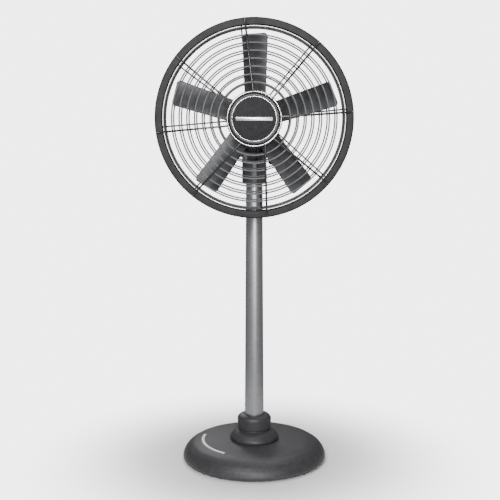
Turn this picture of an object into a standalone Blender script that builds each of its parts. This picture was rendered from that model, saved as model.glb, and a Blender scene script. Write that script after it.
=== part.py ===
"""Industrial pedestal fan: round cast base, fixed column, swivelling and tilting head, caged blades.

Metres, +Z up. The origin is the centre of the base on the floor. The air blows towards -Y.
"""
import math

import bmesh
import bpy
from mathutils import Matrix, Vector

GAP = 0.0003

# Heights above the floor
HUB_Z = 1.289
TILT_Z = 1.158
FOOT_TOP_Z = 0.004
BASE_TOP_Z = 0.076
FLANGE_TOP_Z = 0.1186
COLLAR_TOP_Z = 0.1760
STOP_COLLAR_LOW_Z = 1.056
STOP_COLLAR_TOP_Z = 1.0975
COLUMN_TOP_Z = 1.126

# Radii of the stand
BASE_R = 0.2722
FLANGE_R = 0.091
COLLAR_R = 0.0638
COLUMN_LOW_R = 0.0365
COLUMN_TOP_R = 0.0303
COLUMN_WALL = 0.0028
NECK_R = 0.0450
FOOT_RING_R = 0.2525
FOOT_R = 0.0085

# Stations along the fan's axis, measured as world Y
MOTOR_FRONT_Y = -0.080
MOTOR_REAR_Y = 0.084
FRAME_HALF_LENGTH = 0.064
BLADE_Y = -0.165
RIM_FRONT_Y = -0.200
RIM_REAR_Y = -0.150
REAR_GUARD_Y = -0.0855
FRONT_GUARD_Y = -0.2585

# Motor
FRAME_R = 0.080
FIN_R = 0.089
FIN_COUNT = 18
SHIELD_R = 0.084
CORE_R = 0.0735
CORE_BORE_R = 0.0400
ROTOR_R = 0.0395
SHAFT_R = 0.0080
BEARING_R = 0.0200

# Blades
BLADE_COUNT = 5
TIP_R = 0.297
TIP_SLANT = 0.009
BLADE_ROOT_R = 0.070
BLADE_CHORD_ROOT = 0.089
BLADE_CHORD_TIP = 0.100
BLADE_THICKNESS = 0.0026
BLADE_CAMBER = 0.0085
PITCH_ROOT = math.radians(34.0)
PITCH_TIP = math.radians(26.0)
BLADE_START = math.radians(90.0)

# Guard
RIM_R = 0.3455
RIM_DEPTH = 0.0245
RIM_SHEET = 0.0022
RING_SIDES = 24
FRONT_RINGS = 8
FRONT_RING_FIRST_R = 0.1235
FRONT_RING_STEP = 0.0267
REAR_RINGS = 8
REAR_RING_FIRST_R = 0.1250
REAR_RING_STEP = 0.0268
BADGE_RING_R = 0.0918
WIRE_R = 0.0019
HEAVY_WIRE_R = 0.0026
RIB_COUNT = 8
RIB_R = 0.0030
FRONT_DOME = 0.062
REAR_DOME = 0.071

# Badge
BADGE_R = 0.0872
BADGE_TRIM_R = 0.0775
BADGE_FACE_R = 0.0738
BADGE_FRONT_Y = -0.2645
NAME_BAR = (0.126, 0.0032, 0.0125)

# Base emblem strip
STRIP_R = 0.196
STRIP_WIDTH = 0.010
STRIP_FROM = math.radians(166.0)
STRIP_TO = math.radians(236.0)

ROUND = 20
SMALL_ROUND = 12


# ---------------------------------------------------------------- materials and bookkeeping

def clear_scene():
    for item in list(bpy.data.objects):
        bpy.data.objects.remove(item, do_unlink=True)


def make_material(name, colour, roughness, metallic):
    material = bpy.data.materials.new(name)
    material.use_nodes = True
    shader = material.node_tree.nodes["Principled BSDF"]
    shader.inputs["Base Color"].default_value = (*colour, 1.0)
    shader.inputs["Roughness"].default_value = roughness
    shader.inputs["Metallic"].default_value = metallic
    material.diffuse_color = (*colour, 1.0)
    return material


FINISHES = {
    "charcoal": ((0.055, 0.055, 0.058), 0.50, 0.0),
    "guard_black": ((0.045, 0.045, 0.048), 0.42, 0.0),
    "column_grey": ((0.36, 0.36, 0.37), 0.36, 0.6),
    "blade_grey": ((0.09, 0.09, 0.095), 0.45, 0.3),
    "bright_zinc": ((0.72, 0.72, 0.70), 0.30, 1.0),
    "polished_trim": ((0.80, 0.80, 0.82), 0.16, 1.0),
    "black_plastic": ((0.030, 0.030, 0.032), 0.55, 0.0),
    "rubber": ((0.020, 0.020, 0.020), 0.80, 0.0),
    "cast_aluminium": ((0.50, 0.50, 0.50), 0.50, 1.0),
    "lamination_steel": ((0.28, 0.28, 0.30), 0.45, 1.0),
    "copper_winding": ((0.62, 0.24, 0.10), 0.40, 1.0),
    "brass": ((0.70, 0.50, 0.20), 0.30, 1.0),
    "white_print": ((0.80, 0.80, 0.80), 0.45, 0.0),
}


def finish(name, mesh, finish_name, axis=None):
    """Make one named sub-part from a mesh, and hang it on its joint's empty."""
    item = bpy.data.objects.new(name, mesh)
    bpy.context.scene.collection.objects.link(item)
    mesh.name = name
    mesh.materials.clear()
    colour, roughness, metallic = FINISHES[finish_name]
    mesh.materials.append(make_material(name, colour, roughness, metallic))
    if axis is not None:
        hang(item, axis)
    return item


def hang(item, axis):
    """Parent a sub-part to the empty on its joint's axis, keeping its place."""
    item.parent = axis
    item.matrix_parent_inverse = Matrix.Translation(axis["place"]).inverted()


def axis_empty(name, place, parent=None):
    """An empty on a joint's axis, with its place in the world kept beside it."""
    item = bpy.data.objects.new(name, None)
    bpy.context.scene.collection.objects.link(item)
    item["place"] = place
    item.location = place
    if parent is not None:
        hang(item, parent)
    return item


def to_mesh(bm, smooth_angle=35.0):
    bmesh.ops.recalc_face_normals(bm, faces=bm.faces)
    mesh = bpy.data.meshes.new("piece")
    bm.to_mesh(mesh)
    bm.free()
    mesh.shade_smooth()
    mesh.set_sharp_from_angle(angle=math.radians(smooth_angle))
    return mesh


def moved(mesh, matrix):
    mesh.transform(matrix)
    if matrix.determinant() < 0:
        mesh.flip_normals()
    return mesh


def temporary(mesh):
    item = bpy.data.objects.new("temporary", mesh)
    bpy.context.scene.collection.objects.link(item)
    return item


def boolean(mesh, others, operation):
    """Return the mesh joined with, or cut by, the other meshes one after another."""
    target = temporary(mesh)
    tools = []
    for other in others:
        tool = temporary(other)
        tools.append(tool)
        step = target.modifiers.new("step", "BOOLEAN")
        step.operation = operation
        step.solver = "EXACT"
        step.object = tool
    depsgraph = bpy.context.evaluated_depsgraph_get()
    result = bpy.data.meshes.new_from_object(target.evaluated_get(depsgraph))
    for item in [target, *tools]:
        bpy.data.objects.remove(item, do_unlink=True)
    result.shade_smooth()
    result.set_sharp_from_angle(angle=math.radians(35.0))
    return result


# ---------------------------------------------------------------- shapes

ALONG_FAN = Matrix.Rotation(math.radians(90.0), 4, "X")


def on_fan_axis(mesh):
    """Turn a piece lathed about +Z so that its +Z points out of the front of the fan."""
    return moved(mesh, Matrix.Translation((0.0, 0.0, HUB_Z)) @ ALONG_FAN)


def turned(outline, steps=ROUND):
    """Lathe a closed outline of (radius, height) points about Z."""
    bm = bmesh.new()
    verts = [bm.verts.new((radius, 0.0, height)) for radius, height in outline]
    edges = []
    for index, vert in enumerate(verts):
        edges.append(bm.edges.new((vert, verts[(index + 1) % len(verts)])))
    bmesh.ops.spin(
        bm, geom=verts + edges, axis=(0, 0, 1), cent=(0, 0, 0), dvec=(0, 0, 0),
        angle=math.tau, steps=steps, use_merge=True, use_duplicate=False,
    )
    bmesh.ops.remove_doubles(bm, verts=bm.verts, dist=0.00001)
    return to_mesh(bm)


def turned_solid(outline, steps=ROUND):
    """Lathe an open outline that starts and ends on the axis."""
    bm = bmesh.new()
    verts = [bm.verts.new((radius, 0.0, height)) for radius, height in outline]
    edges = [bm.edges.new(pair) for pair in zip(verts, verts[1:])]
    bmesh.ops.spin(
        bm, geom=verts + edges, axis=(0, 0, 1), cent=(0, 0, 0), dvec=(0, 0, 0),
        angle=math.tau, steps=steps, use_merge=True, use_duplicate=False,
    )
    bmesh.ops.remove_doubles(bm, verts=bm.verts, dist=0.00001)
    return to_mesh(bm)


def washer(inner, outer, low, high, steps=ROUND):
    return turned([(inner, low), (outer, low), (outer, high), (inner, high)], steps)


def rod(radius, low, high, steps=SMALL_ROUND):
    return turned_solid([(0.0, low), (radius, low), (radius, high), (0.0, high)], steps)


def headed_bolt(shank_r, shank_length, head_r, head_height, sides=6):
    """A bolt whose head starts at z = 0 and whose shank points down."""
    shank = turned_solid([(0.0, -shank_length), (shank_r, -shank_length), (shank_r, 0.001), (0.0, 0.001)], 12)
    head = rod(head_r, 0.0, head_height, sides)
    return boolean(head, [shank], "UNION")


def block(size, centre=(0.0, 0.0, 0.0), bevel=0.0, segments=2):
    bm = bmesh.new()
    bmesh.ops.create_cube(bm, size=1.0)
    bmesh.ops.scale(bm, vec=size, verts=bm.verts)
    if bevel > 0.0:
        bmesh.ops.bevel(
            bm, geom=bm.verts[:] + bm.edges[:], offset=bevel, segments=segments,
            affect="EDGES", profile=0.5, material=-1,
        )
    bmesh.ops.translate(bm, vec=centre, verts=bm.verts)
    return to_mesh(bm)


def wires(paths, radius):
    """Round wire bent along each path of (points, closed), as loose bodies in one mesh."""
    curve = bpy.data.curves.new("wire", "CURVE")
    curve.dimensions = "3D"
    curve.bevel_depth = radius
    curve.bevel_resolution = 0
    curve.use_fill_caps = True
    for points, closed in paths:
        spline = curve.splines.new("POLY")
        spline.points.add(len(points) - 1)
        for target, point in zip(spline.points, points):
            target.co = (*point, 1.0)
        spline.use_cyclic_u = closed
    item = bpy.data.objects.new("wire", curve)
    bpy.context.scene.collection.objects.link(item)
    depsgraph = bpy.context.evaluated_depsgraph_get()
    mesh = bpy.data.meshes.new_from_object(item.evaluated_get(depsgraph))
    bpy.data.objects.remove(item, do_unlink=True)
    bm = bmesh.new()
    bm.from_mesh(mesh)
    bmesh.ops.remove_doubles(bm, verts=bm.verts, dist=0.00001)
    return to_mesh(bm, 60.0)


def on_circle(radius, angle, y):
    """A point round the fan's axis, the angle counted from +X towards +Z."""
    return Vector((radius * math.cos(angle), y, HUB_Z + radius * math.sin(angle)))


def ring_points(radius, y, count=RING_SIDES):
    return [on_circle(radius, math.tau * index / count, y) for index in range(count)]


def column_radius(z):
    share = (z - FLANGE_TOP_Z) / (COLUMN_TOP_Z - FLANGE_TOP_Z)
    return COLUMN_LOW_R + share * (COLUMN_TOP_R - COLUMN_LOW_R)


# ---------------------------------------------------------------- stand

BASE_CROWN = ((0.205, 0.0733), (0.232, 0.0665))


def build_base():
    """A dished casting: a nearly flat crown, a round shoulder, and a foot ring under its edge."""
    outline = [
        (0.0298, BASE_TOP_Z), (0.094, BASE_TOP_Z), *BASE_CROWN,
        (0.252, 0.0545), (0.265, 0.0390), (BASE_R, 0.0180), (0.2700, 0.0080), (0.2620, FOOT_TOP_Z),
        (0.2430, FOOT_TOP_Z), (0.2430, 0.0360), (0.2300, 0.0520), (0.2150, 0.0605), (0.1800, 0.0665),
        (0.0640, 0.0690), (0.0600, 0.0520), (0.0298, 0.0520),
    ]
    finish("base_casting", turned(outline, 32), "charcoal")


def build_feet():
    top = FOOT_TOP_Z - GAP
    outline = [(0.0, 0.0), (FOOT_R - 0.0015, 0.0), (FOOT_R, 0.0010), (FOOT_R, top), (0.0, top)]
    for index in range(4):
        angle = math.radians(45.0 + 90.0 * index)
        place = Matrix.Translation((FOOT_RING_R * math.cos(angle), FOOT_RING_R * math.sin(angle), 0.0))
        foot = moved(turned_solid(outline, SMALL_ROUND), place)
        finish(f"rubber_foot_{index + 1}", foot, "rubber")


def build_emblem_strip():
    """A plain raised arc that follows the slope of the base's crown."""
    crown_r, crown_z = BASE_CROWN[0]
    slope = (BASE_TOP_Z - crown_z) / (crown_r - 0.094)
    thickness = 0.0016
    corners = []
    for radius in (STRIP_R - STRIP_WIDTH / 2, STRIP_R + STRIP_WIDTH / 2):
        corners.append((radius, crown_z + slope * (crown_r - radius) + GAP))
    corners += [(radius, height + thickness) for radius, height in reversed(corners)]
    bm = bmesh.new()
    verts = [bm.verts.new((radius, 0.0, height)) for radius, height in corners]
    edges = [bm.edges.new((vert, verts[(index + 1) % len(verts)])) for index, vert in enumerate(verts)]
    bmesh.ops.rotate(bm, cent=(0, 0, 0), matrix=Matrix.Rotation(STRIP_FROM, 3, "Z"), verts=bm.verts)
    bmesh.ops.spin(
        bm, geom=verts + edges, axis=(0, 0, 1), cent=(0, 0, 0), dvec=(0, 0, 0),
        angle=STRIP_TO - STRIP_FROM, steps=14, use_merge=False, use_duplicate=False,
    )
    bmesh.ops.holes_fill(bm, edges=bm.edges, sides=4)
    finish("base_emblem_strip", to_mesh(bm), "white_print")


def build_flange():
    outline = [
        (0.0200, 0.0300), (0.0294, 0.0300), (0.0294, BASE_TOP_Z + GAP), (FLANGE_R, BASE_TOP_Z + GAP),
        (0.0920, 0.0820), (0.0915, 0.0880), (0.0875, 0.0965), (0.0785, 0.1055), (0.0695, 0.1115),
        (0.0600, 0.1155), (0.0585, FLANGE_TOP_Z - GAP), (0.0200, FLANGE_TOP_Z - GAP),
    ]
    finish("pillar_flange", turned(outline, 24), "charcoal")
    finish("base_washer", washer(0.0300, 0.0460, 0.0477, 0.0517), "bright_zinc")
    bore = rod(0.0302, 0.0300, 0.0500, 20)
    nut = boolean(rod(0.0450, 0.0340, 0.0474, 6), [bore], "DIFFERENCE")
    finish("base_lock_nut", nut, "bright_zinc")


def build_collar():
    bore = column_radius(FLANGE_TOP_Z) + 0.0004
    outline = [
        (bore, FLANGE_TOP_Z), (0.0605, FLANGE_TOP_Z), (0.0625, 0.1205), (COLLAR_R, 0.1560),
        (0.0622, 0.1635), (0.0585, 0.1685), (0.0520, 0.1725), (0.0445, 0.1750), (bore, COLLAR_TOP_Z),
    ]
    collar = turned(outline, 24)
    screw_z = 0.142
    hole = moved(rod(0.0052, 0.030, 0.090, SMALL_ROUND), Matrix.Rotation(math.radians(-90.0), 4, "X"))
    hole = moved(hole, Matrix.Translation((0.0, 0.0, screw_z)))
    collar = boolean(collar, [hole], "DIFFERENCE")
    finish("pillar_collar", collar, "charcoal")
    screw = headed_bolt(0.0048, 0.0265, 0.0088, 0.0065)
    place = Matrix.Translation((0.0, COLLAR_R + GAP, screw_z)) @ Matrix.Rotation(math.radians(-90.0), 4, "X")
    finish("collar_screw", moved(screw, place), "bright_zinc")


def build_column():
    outline = [
        (COLUMN_LOW_R - COLUMN_WALL, FLANGE_TOP_Z), (COLUMN_LOW_R, FLANGE_TOP_Z),
        (COLUMN_TOP_R, COLUMN_TOP_Z), (COLUMN_TOP_R - COLUMN_WALL, COLUMN_TOP_Z),
    ]
    finish("pillar_tube", turned(outline, 24), "column_grey")


def build_stop_collar():
    bore = column_radius(STOP_COLLAR_LOW_Z) + 0.0004
    outline = [
        (bore, STOP_COLLAR_LOW_Z), (NECK_R - 0.0015, STOP_COLLAR_LOW_Z),
        (NECK_R, STOP_COLLAR_LOW_Z + 0.0015), (NECK_R, STOP_COLLAR_TOP_Z), (bore, STOP_COLLAR_TOP_Z),
    ]
    finish("stop_collar", turned(outline, 24), "charcoal")


# ---------------------------------------------------------------- swivelling neck

EAR_INNER_X = 0.0240
EAR_OUTER_X = 0.0448
EAR_R = 0.0225
KNUCKLE_R = 0.0225
TILT_BOLT_R = 0.0060
NECK_LOW_Z = STOP_COLLAR_TOP_Z + GAP
NECK_CEILING_Z = 1.1285
NECK_TOP_Z = 1.1345
LOCK_SCREW_Z = 1.1040


def across(mesh, place):
    """Turn a piece lathed about +Z so that its axis lies along +X."""
    turn = Matrix.Rotation(math.radians(90.0), 4, "Y")
    return moved(mesh, Matrix.Translation(place) @ turn)


def forward(mesh, place):
    """Turn a piece lathed about +Z so that its +Z points to the front."""
    return moved(mesh, Matrix.Translation(place) @ ALONG_FAN)


def ear(side):
    middle_x = side * (EAR_INNER_X + EAR_OUTER_X) / 2
    thickness = EAR_OUTER_X - EAR_INNER_X
    disc = across(rod(EAR_R, -thickness / 2, thickness / 2, 20), (middle_x, 0.0, TILT_Z))
    web_low = NECK_TOP_Z - 0.0025
    web_size = (thickness - 0.0010, 2 * EAR_R - 0.0010, TILT_Z - web_low)
    web = block(web_size, (middle_x, 0.0, (TILT_Z + web_low) / 2))
    return disc, web


def build_neck(swivel_axis):
    bore = column_radius(NECK_LOW_Z) + 0.0012
    body = turned_solid(
        [(0.0, NECK_CEILING_Z), (bore, NECK_CEILING_Z), (bore, NECK_LOW_Z), (NECK_R, NECK_LOW_Z),
         (NECK_R, NECK_TOP_Z - 0.004), (NECK_R - 0.004, NECK_TOP_Z), (0.0, NECK_TOP_Z)], 24)
    pieces = []
    for side in (-1, 1):
        disc, web = ear(side)
        pieces.extend([disc, web])
    body = boolean(body, pieces, "UNION")
    bolt_hole = across(rod(TILT_BOLT_R + GAP, -0.060, 0.060), (0.0, 0.0, TILT_Z))
    screw_hole = forward(rod(0.0053, 0.020, 0.060), (0.0, 0.0, LOCK_SCREW_Z))
    body = boolean(body, [bolt_hole, screw_hole], "DIFFERENCE")
    finish("neck_socket", body, "charcoal", swivel_axis)
    low = COLUMN_TOP_Z + GAP
    finish("thrust_washer", washer(0.010, 0.029, low, NECK_CEILING_Z - GAP, 24), "brass", swivel_axis)


def build_tilt_bolt(swivel_axis):
    bolt = headed_bolt(TILT_BOLT_R - 0.0001, 2 * EAR_OUTER_X + 0.0115, 0.0110, 0.0075)
    head_place = Matrix.Translation((-EAR_OUTER_X - GAP, 0.0, TILT_Z))
    turn = head_place @ Matrix.Rotation(math.radians(-90.0), 4, "Y")
    finish("tilt_bolt", moved(bolt, turn), "bright_zinc", swivel_axis)
    spacer = washer(TILT_BOLT_R + 0.0002, 0.0125, 0.0, 0.0022, 20)
    finish("tilt_washer", across(spacer, (EAR_OUTER_X + GAP, 0.0, TILT_Z)), "bright_zinc", swivel_axis)


def build_tilt_lever(lever_axis):
    """A cast clamp lever with a nut boss, a cranked arm and a ball grip."""
    start_x = EAR_OUTER_X + 0.0028
    boss = across(rod(0.0130, 0.0, 0.0130, 20), (start_x, 0.0, TILT_Z))
    arm = wires([([(start_x + 0.0065, 0.004, TILT_Z), (start_x + 0.0100, 0.034, TILT_Z - 0.012),
                   (start_x + 0.0150, 0.066, TILT_Z - 0.026)], False)], 0.0050)
    bm = bmesh.new()
    bmesh.ops.create_uvsphere(bm, u_segments=12, v_segments=8, radius=0.0115)
    bmesh.ops.translate(bm, vec=(start_x + 0.0160, 0.070, TILT_Z - 0.028), verts=bm.verts)
    grip = to_mesh(bm)
    lever = boolean(boss, [arm, grip], "UNION")
    bore = across(rod(TILT_BOLT_R + GAP, -0.002, 0.0096), (start_x, 0.0, TILT_Z))
    lever = boolean(lever, [bore], "DIFFERENCE")
    finish("tilt_lock_lever", lever, "black_plastic", lever_axis)


def build_lock_screw(screw_axis):
    """A set screw with a flat bar head, which clamps the neck to the column."""
    shank = rod(0.0049, -0.0120, 0.002, 12)
    collar = rod(0.0060, 0.0, 0.0030, 12)
    bar = block((0.0206, 0.0122, 0.0070), (0.0, 0.0, 0.0062), 0.0010, 1)
    screw = boolean(collar, [shank, bar], "UNION")
    place = (0.0, -NECK_R - 0.0008, LOCK_SCREW_Z)
    finish("swivel_lock_screw", forward(screw, place), "bright_zinc", screw_axis)


# ---------------------------------------------------------------- motor

def build_motor_foot(tilt_axis):
    """The knuckle between the ears, with the saddle that carries the stator frame."""
    half = EAR_INNER_X - 0.0006
    knuckle = across(rod(KNUCKLE_R, -half, half, 20), (0.0, 0.0, TILT_Z))
    saddle_top = HUB_Z - 0.072
    saddle_low = TILT_Z + 0.008
    saddle = block((0.046, 0.040, saddle_top - saddle_low), (0.0, 0.0, (saddle_top + saddle_low) / 2))
    plate_low = TILT_Z + EAR_R + 0.0018
    plate_top = HUB_Z - 0.0700
    plate = block((0.076, 0.096, plate_top - plate_low), (0.0, 0.002, (plate_low + plate_top) / 2))
    foot = boolean(knuckle, [saddle, plate], "UNION")
    clearance = on_fan_axis(rod(FIN_R + 0.0010, -0.090, 0.090, 40))
    bolt_hole = across(rod(TILT_BOLT_R + GAP, -0.060, 0.060), (0.0, 0.0, TILT_Z))
    foot = boolean(foot, [clearance, bolt_hole], "DIFFERENCE")
    finish("motor_foot", foot, "charcoal", tilt_axis)


def build_stator_frame(tilt_axis):
    """A tube with cooling fins along it: the outline is extruded along the fan's axis."""
    bm = bmesh.new()
    verts = []
    step = math.tau / FIN_COUNT
    for index in range(FIN_COUNT):
        middle = index * step
        for offset, radius in ((-0.30, FRAME_R), (-0.16, FIN_R), (0.16, FIN_R), (0.30, FRAME_R)):
            angle = middle + offset * step
            corner = (radius * math.cos(angle), radius * math.sin(angle), -FRAME_HALF_LENGTH)
            verts.append(bm.verts.new(corner))
    face = bm.faces.new(verts)
    extruded = bmesh.ops.extrude_face_region(bm, geom=[face])
    top = [item for item in extruded["geom"] if isinstance(item, bmesh.types.BMVert)]
    bmesh.ops.translate(bm, vec=(0.0, 0.0, 2 * FRAME_HALF_LENGTH), verts=top)
    frame = to_mesh(bm, 20.0)
    bore = rod(CORE_R + GAP, -0.100, 0.100, ROUND)
    frame = boolean(frame, [bore], "DIFFERENCE")
    finish("stator_frame", on_fan_axis(frame), "charcoal", tilt_axis)


SHIELD_BOLTS = [math.radians(angle) for angle in (40.0, 160.0, 280.0)]


def bolt_circle(radius, bolt_radius, low, high, angles):
    """Cutters or shanks on a circle round Z."""
    pieces = []
    for angle in angles:
        place = Matrix.Translation((radius * math.cos(angle), radius * math.sin(angle), 0.0))
        pieces.append(moved(rod(bolt_radius, low, high, 12), place))
    return pieces


def build_front_shield(tilt_axis):
    """The front bearing shield, its height axis pointing forward."""
    face = -MOTOR_FRONT_Y
    back = FRAME_HALF_LENGTH + GAP
    outline = [
        (SHAFT_R + 0.0010, face + 0.003), (0.0300, face + 0.003), (0.0330, face), (0.0720, face),
        (0.0800, face - 0.004), (SHIELD_R, back + 0.0040), (SHIELD_R, back), (0.0600, back),
        (0.0560, face - 0.0050), (0.0270, face - 0.0050), (0.0270, back - 0.006), (BEARING_R + GAP, back - 0.006),
        (BEARING_R + GAP, face - 0.0020), (SHAFT_R + 0.0010, face - 0.0020),
    ]
    bolt_holes = bolt_circle(0.066, 0.0030, 0.0600, 0.1000, SHIELD_BOLTS)
    shield = boolean(turned(outline, 20), bolt_holes, "DIFFERENCE")
    finish("front_shield", on_fan_axis(shield), "cast_aluminium", tilt_axis)


def build_rear_shield(tilt_axis):
    face = -MOTOR_REAR_Y
    back = -FRAME_HALF_LENGTH - GAP
    outline = [
        (0.0, face), (0.0, face + 0.0030), (BEARING_R + GAP, face + 0.0030), (BEARING_R + GAP, back + 0.006),
        (0.0270, back + 0.006), (0.0270, face + 0.0065), (0.0600, face + 0.0065), (0.0640, back),
        (SHIELD_R, back), (SHIELD_R, back - 0.0040), (0.0790, face + 0.0060), (0.0700, face + 0.0010),
        (0.0640, face),
    ]
    outline = outline[1:] + outline[:1]
    finish("rear_shield", on_fan_axis(turned_solid(outline, 20)), "charcoal", tilt_axis)


def build_stator(tilt_axis):
    core = washer(CORE_BORE_R, CORE_R, -0.030, 0.030)
    finish("stator_core", on_fan_axis(core), "lamination_steel", tilt_axis)
    for name, start in (("winding_front", 0.0303), ("winding_rear", -0.0503)):
        ring = turned([(0.0440, start), (0.0680, start), (0.0700, start + 0.010), (0.0640, start + 0.020),
                       (0.0480, start + 0.020)], 24)
        finish(name, on_fan_axis(ring), "copper_winding", tilt_axis)


def build_bearings(tilt_axis):
    front_high = -MOTOR_FRONT_Y - 0.0020 - GAP
    rear_low = -MOTOR_REAR_Y + 0.0030 + GAP
    for name, low in (("front_bearing", front_high - 0.0120), ("rear_bearing", rear_low)):
        ring = washer(SHAFT_R + 0.0001, BEARING_R, low, low + 0.0120, 24)
        finish(name, on_fan_axis(ring), "bright_zinc", tilt_axis)


SWITCH_BOX = (0.070, 0.034, 0.060)
SWITCH_WALL = 0.004
SWITCH_BOX_Y = MOTOR_REAR_Y + GAP + SWITCH_BOX[1] / 2
LID_THICKNESS = 0.0040
LID_Y = SWITCH_BOX_Y + SWITCH_BOX[1] / 2 + GAP + LID_THICKNESS / 2
KNOB_Y = LID_Y + LID_THICKNESS / 2 + GAP
KNOB_Z = HUB_Z + 0.008


def backward(mesh, place):
    """Turn a piece lathed about +Z so that its +Z points to the rear."""
    return moved(mesh, Matrix.Translation(place) @ Matrix.Rotation(math.radians(-90.0), 4, "X"))


def build_switch_box(tilt_axis):
    """A box on the rear shield, its lid facing the rear and its gland hole underneath."""
    width, depth, height = SWITCH_BOX
    wall = SWITCH_WALL
    box = block(SWITCH_BOX, (0.0, SWITCH_BOX_Y, HUB_Z), 0.003, 1)
    hollow = block((width - 2 * wall, depth, height - 2 * wall), (0.0, SWITCH_BOX_Y + wall, HUB_Z))
    hole_top = Matrix.Translation((0.0, SWITCH_BOX_Y, HUB_Z - height / 2 + 0.005))
    gland_hole = moved(rod(0.0072, -0.010, 0.0, 16), hole_top)
    finish("switch_box", boolean(box, [hollow, gland_hole], "DIFFERENCE"), "charcoal", tilt_axis)
    lid = block((width, LID_THICKNESS, height), (0.0, LID_Y, HUB_Z), 0.0012, 1)
    hole = backward(rod(0.0050, -0.010, 0.010, 12), (0.0, LID_Y, KNOB_Z))
    finish("switch_box_lid", boolean(lid, [hole], "DIFFERENCE"), "charcoal", tilt_axis)
    capacitor = across(rod(0.0090, -0.022, 0.022, 16), (0.0, SWITCH_BOX_Y - 0.0030, HUB_Z - 0.0130))
    finish("capacitor", capacitor, "black_plastic", tilt_axis)


def build_gland(tilt_axis):
    outline = [
        (0.0036, -0.0180), (0.0075, -0.0180), (0.0092, -0.0130), (0.0105, -0.0120), (0.0105, -0.0004),
        (0.0068, -0.0004), (0.0068, 0.0030), (0.0036, 0.0030),
    ]
    place = (0.0, SWITCH_BOX_Y, HUB_Z - SWITCH_BOX[2] / 2)
    gland = moved(turned(outline, SMALL_ROUND), Matrix.Translation(place))
    finish("cable_gland", gland, "black_plastic", tilt_axis)


def build_speed_knob(knob_axis):
    """A rotary speed knob with a pointer bar, on a spindle through the lid."""
    spindle = rod(0.0046, -0.012, 0.002, 12)
    skirt = rod(0.0150, 0.0, 0.0060, 20)
    grip = rod(0.0110, 0.005, 0.0130, 16)
    pointer = block((0.0040, 0.0250, 0.0090), (0.0, 0.0, 0.0095))
    knob = boolean(skirt, [spindle, grip, pointer], "UNION")
    finish("speed_knob", backward(knob, (0.0, KNOB_Y, KNOB_Z)), "black_plastic", knob_axis)


# ---------------------------------------------------------------- rotor and blades

def build_rotor(spin_axis):
    low = -MOTOR_REAR_Y + 0.0040
    high = -BLADE_Y + 0.0330
    finish("motor_shaft", on_fan_axis(rod(SHAFT_R, low, high, 16)), "bright_zinc", spin_axis)
    core = washer(SHAFT_R + 0.0003, ROTOR_R, -0.030, 0.030)
    finish("rotor_core", on_fan_axis(core), "lamination_steel", spin_axis)
    bore = rod(SHAFT_R + 0.0003, high - 0.0200, high + 0.0100)
    nut = boolean(rod(0.0150, high - 0.0100, high - 0.0010, 6), [bore], "DIFFERENCE")
    finish("hub_nut", on_fan_axis(nut), "bright_zinc", spin_axis)


def pitch_at(radius):
    share = (radius - BLADE_ROOT_R) / (TIP_R - BLADE_ROOT_R)
    return PITCH_ROOT + share * (PITCH_TIP - PITCH_ROOT)


def blade_frame(angle, radius, pitch):
    """A frame on a blade's radial line: x across the chord, y through the thickness, z along the radius.

    The edge that leads a clockwise turn, seen from the front, is the one further back.
    """
    radial = Vector((math.cos(angle), 0.0, math.sin(angle)))
    clockwise = Vector((math.sin(angle), 0.0, -math.cos(angle)))
    back = Vector((0.0, 1.0, 0.0))
    chord = clockwise * math.cos(pitch) + back * math.sin(pitch)
    normal = radial.cross(chord)
    origin = on_circle(radius, angle, BLADE_Y)
    frame = Matrix((chord, normal, radial)).transposed().to_4x4()
    frame.translation = origin
    return frame


def blade_mesh(angle, chord_steps=4, span_steps=5):
    """A cambered, twisted plate with rounded tip corners."""
    corner = 0.012
    bm = bmesh.new()
    bmesh.ops.create_grid(bm, x_segments=chord_steps, y_segments=span_steps, size=0.5)
    for vert in bm.verts:
        across_share = vert.co.x * 2.0
        span_share = vert.co.y + 0.5
        radius = BLADE_ROOT_R + span_share * (TIP_R - BLADE_ROOT_R)
        radius -= TIP_SLANT * span_share ** 2 * (1.0 - across_share) / 2
        if span_share > 0.99:
            radius -= corner * abs(across_share) ** 5
        chord = BLADE_CHORD_ROOT + span_share * (BLADE_CHORD_TIP - BLADE_CHORD_ROOT)
        frame = blade_frame(angle, radius, pitch_at(radius))
        camber = BLADE_CAMBER * (1.0 - across_share ** 2)
        vert.co = frame @ Vector((across_share * chord / 2, camber - 0.006, 0.0))
    bmesh.ops.recalc_face_normals(bm, faces=bm.faces)
    bmesh.ops.solidify(bm, geom=bm.faces[:], thickness=BLADE_THICKNESS)
    return to_mesh(bm, 40.0)


ARM_OFFSET = 0.0083


def hub_arm(angle):
    """A flat arm of the spider, behind one blade."""
    arm = block((0.030, 0.0045, 0.064), (0.0, 0.0, 0.0))
    middle = 0.070
    frame = blade_frame(angle, middle, pitch_at(BLADE_ROOT_R))
    return moved(arm, frame @ Matrix.Translation((0.0, ARM_OFFSET, 0.0)))


def blade_angle(index):
    return BLADE_START - math.tau * index / BLADE_COUNT


def build_hub(spin_axis):
    middle = -BLADE_Y
    bore = SHAFT_R + 0.0003
    outline = [
        (bore, middle - 0.020), (0.0240, middle - 0.020), (0.0260, middle - 0.005), (0.0480, middle - 0.003),
        (0.0480, middle + 0.003), (0.0260, middle + 0.006), (0.0220, middle + 0.0225), (bore, middle + 0.0225),
    ]
    hub = on_fan_axis(turned(outline, 20))
    arms = [hub_arm(blade_angle(index)) for index in range(BLADE_COUNT)]
    finish("blade_hub", boolean(hub, arms, "UNION"), "cast_aluminium", spin_axis)


def build_blades(spin_axis):
    for index in range(BLADE_COUNT):
        finish(f"blade_{index + 1}", blade_mesh(blade_angle(index)), "blade_grey", spin_axis)


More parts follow.
